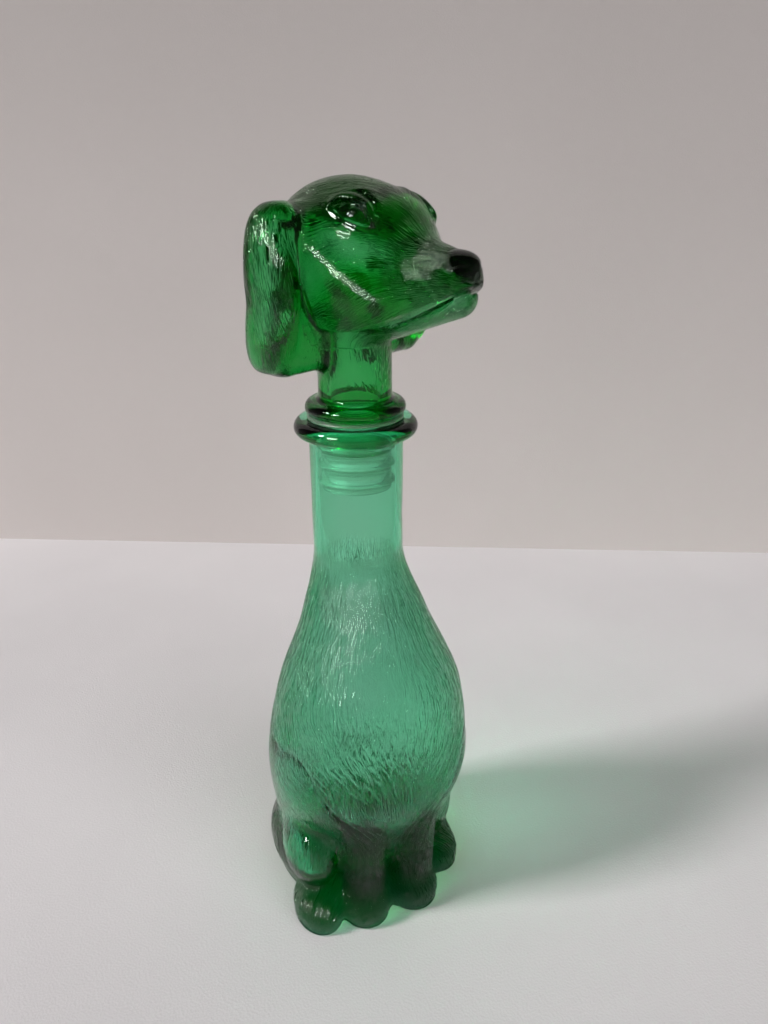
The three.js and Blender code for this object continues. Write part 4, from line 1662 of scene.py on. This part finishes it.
@dataclass
class Studio:
    """The table, the wall behind it, the lamps and the camera."""

    eye: Point = (-0.1215, -0.30166, 0.3327)
    azimuth: float = -24.0
    pitch: float = 23.0
    roll: float = 0.3
    lens: float = 28.125
    wall_distance: float = 0.376
    wall_yaw: float = -3.2
    stage_half: float = 1.6
    wall_half: float = 0.6
    wall_height: float = 1.6
    lamp_aim: Point = (0.0, 0.0, 0.16)
    daylight: tuple[float, float, float] = (1.0, 0.985, 0.97)
    room_behind: Colour = (0.42, 0.40, 0.395, 1.0)
    room_strength: float = 0.9

    def axes(self) -> tuple[Vector, Vector, Vector]:
        """Level axes of the camera.

        Returns:
            The ways to its right, ahead and up.
        """
        turn = math.radians(self.azimuth)
        right = Vector((math.cos(turn), math.sin(turn), 0.0))
        ahead = Vector((-math.sin(turn), math.cos(turn), 0.0))
        return right, ahead, Vector((0.0, 0.0, 1.0))

    def place_camera(self) -> None:
        """Puts the camera where the picture was taken from."""
        right, ahead, up = self.axes()
        tilt, roll = math.radians(self.pitch), math.radians(self.roll)
        look = ahead * math.cos(tilt) - up * math.sin(tilt)
        top = up * math.cos(tilt) + ahead * math.sin(tilt)
        rolled_right = right * math.cos(roll) - top * math.sin(roll)
        rolled_top = top * math.cos(roll) + right * math.sin(roll)
        data = bpy.data.cameras.new("camera")
        data.lens = self.lens
        data.sensor_width = 36.0
        data.clip_start = 0.01
        camera = bpy.data.objects.new("camera", data)
        turn = Matrix((rolled_right, rolled_top, -look)).transposed().to_4x4()
        camera.matrix_world = Matrix.Translation(self.eye) @ turn
        bpy.context.scene.collection.objects.link(camera)
        bpy.context.scene.camera = camera

    def lay_plane(self, name: str, corners: list[Vector], finish: PaintFinish, painter: Painter) -> None:
        """Adds one flat piece of the stage.

        Args:
            name: Name of the piece.
            corners: Its corners, counter-clockwise as seen from its face.
            finish: Its finish.
            painter: Maker of the materials.
        """
        mesh = bpy.data.meshes.new(name)
        mesh.from_pydata([tuple(corner) for corner in corners], [], [tuple(range(len(corners)))])
        obj = bpy.data.objects.new(name, mesh)
        obj.data.materials.append(painter.paint(finish))
        bpy.context.scene.collection.objects.link(obj)
        LOG.info("%s: stage", name)

    def build(self, painter: Painter) -> None:
        """Builds the table and the wall.

        Args:
            painter: Maker of the materials.
        """
        right, ahead, up = self.axes()
        half = self.stage_half
        yaw = math.radians(self.wall_yaw)
        along = right * math.cos(yaw) + ahead * math.sin(yaw)
        middle = ahead * self.wall_distance
        near = -ahead * half
        floor = [middle - along * half, near - right * half, near + right * half, middle + along * half]
        self.lay_plane("table", floor, CLOTH, painter)
        left_end, right_end = middle - along * self.wall_half, middle + along * self.wall_half
        height = up * self.wall_height
        self.lay_plane("wall", [left_end, right_end, right_end + height, left_end + height], WALL, painter)

    def add_area(
        self, name: str, azimuth: float, height: float, distance: float,
        size: tuple[float, float], power: float, colour: tuple[float, float, float],
    ) -> bpy.types.Object:
        """Adds an area lamp that looks at the middle of the object.

        Args:
            name: Name of the lamp.
            azimuth: Angle round the object, with the sign of the camera's.
            height: Angle above the middle of the object.
            distance: Distance from it in metres.
            size: Width and height in metres.
            power: Power in watts.
            colour: Colour of the light.

        Returns:
            The lamp.
        """
        data = bpy.data.lights.new(name, "AREA")
        data.shape = "RECTANGLE"
        data.size, data.size_y = size
        data.energy = power
        data.color = colour
        lamp = bpy.data.objects.new(name, data)
        turn, lift = math.radians(azimuth), math.radians(height)
        level = math.cos(lift)
        offset = Vector((math.sin(turn) * level, -math.cos(turn) * level, math.sin(lift))) * distance
        lamp.location = Vector(self.lamp_aim) + offset
        lamp.rotation_euler = (-offset).to_track_quat("-Z", "Y").to_euler()
        bpy.context.scene.collection.objects.link(lamp)
        return lamp

    def light(self) -> None:
        """Lights the stage with a window, a pane that shines on the glass, a soft fill and a dim room."""
        self.add_area("window", -97.0, 36.0, 5.0, (0.95, 1.1), 185.0, self.daylight)
        pane = self.add_area("side_pane", -70.0, 25.0, 5.0, (1.4, 1.6), 250.0, self.daylight)
        pane.visible_diffuse = False
        pane.visible_transmission = False
        fill = self.add_area("fill", 14.0, 28.0, 3.0, (2.4, 2.4), 37.0, (0.98, 0.97, 1.0))
        fill.visible_glossy = False
        fill.visible_transmission = False
        world = bpy.data.worlds.new("room")
        world.use_nodes = True
        sheet = NodeSheet(world.node_tree)
        world.node_tree.nodes.clear()
        out = sheet.add("ShaderNodeOutputWorld")
        back = sheet.add("ShaderNodeBackground")
        where = sheet.add("ShaderNodeTexCoord")
        parts = sheet.add("ShaderNodeSeparateXYZ")
        sheet.join(where.outputs["Generated"], parts.inputs[0])
        level = sheet.math("MULTIPLY_ADD", parts.outputs["Z"], 0.5)
        level.node.inputs[2].default_value = 0.5
        colour = sheet.ramp(level, [
            (0.0, (0.12, 0.116, 0.116, 1.0)), (0.48, (0.20, 0.193, 0.19, 1.0)),
            (0.58, (0.14, 0.135, 0.13, 1.0)), (0.70, (0.06, 0.058, 0.056, 1.0)),
            (1.0, (0.03, 0.03, 0.03, 1.0)),
        ])
        path = sheet.add("ShaderNodeLightPath")
        shown = sheet.add("ShaderNodeMix", data_type="RGBA")
        sheet.join(path.outputs["Is Camera Ray"], shown.inputs[0])
        sheet.join(colour, shown.inputs[6])
        shown.inputs[7].default_value = self.room_behind
        sheet.join(shown.outputs[2], back.inputs["Color"])
        back.inputs["Strength"].default_value = self.room_strength
        sheet.join(back.outputs[0], out.inputs["Surface"])
        bpy.context.scene.world = world


@dataclass
class DogDecanter:
    """The whole decanter."""

    bottle: BottleBody = field(default_factory=BottleBody)
    sleeve: StopperSleeve = field(default_factory=StopperSleeve)
    head: HeadStopper = field(default_factory=HeadStopper)

    def build(self) -> None:
        """Builds every piece."""
        for piece in (self.bottle, self.sleeve, self.head):
            piece.build()

    def dress(self, painter: Painter) -> None:
        """Gives every piece its material and its place.

        Args:
            painter: Maker of the materials.
        """
        for piece in (self.bottle, self.sleeve, self.head):
            piece.dress(painter)


def set_bounces() -> None:
    """Lets light pass through every wall of the glass and shows colours without a film curve."""
    scene = bpy.context.scene
    scene.cycles.max_bounces = 32
    scene.cycles.transmission_bounces = 28
    scene.cycles.transparent_max_bounces = 32
    scene.cycles.glossy_bounces = 10
    scene.cycles.diffuse_bounces = 4
    scene.view_settings.view_transform = "Standard"


def main() -> None:
    """Builds, dresses, stages and lights the decanter."""
    logging.basicConfig(level=logging.INFO, format="%(name)s %(message)s")
    painter = Painter()
    decanter = DogDecanter()
    decanter.build()
    decanter.dress(painter)
    studio = Studio()
    studio.build(painter)
    studio.light()
    studio.place_camera()
    set_bounces()


if __name__ == "__main__":
    main()
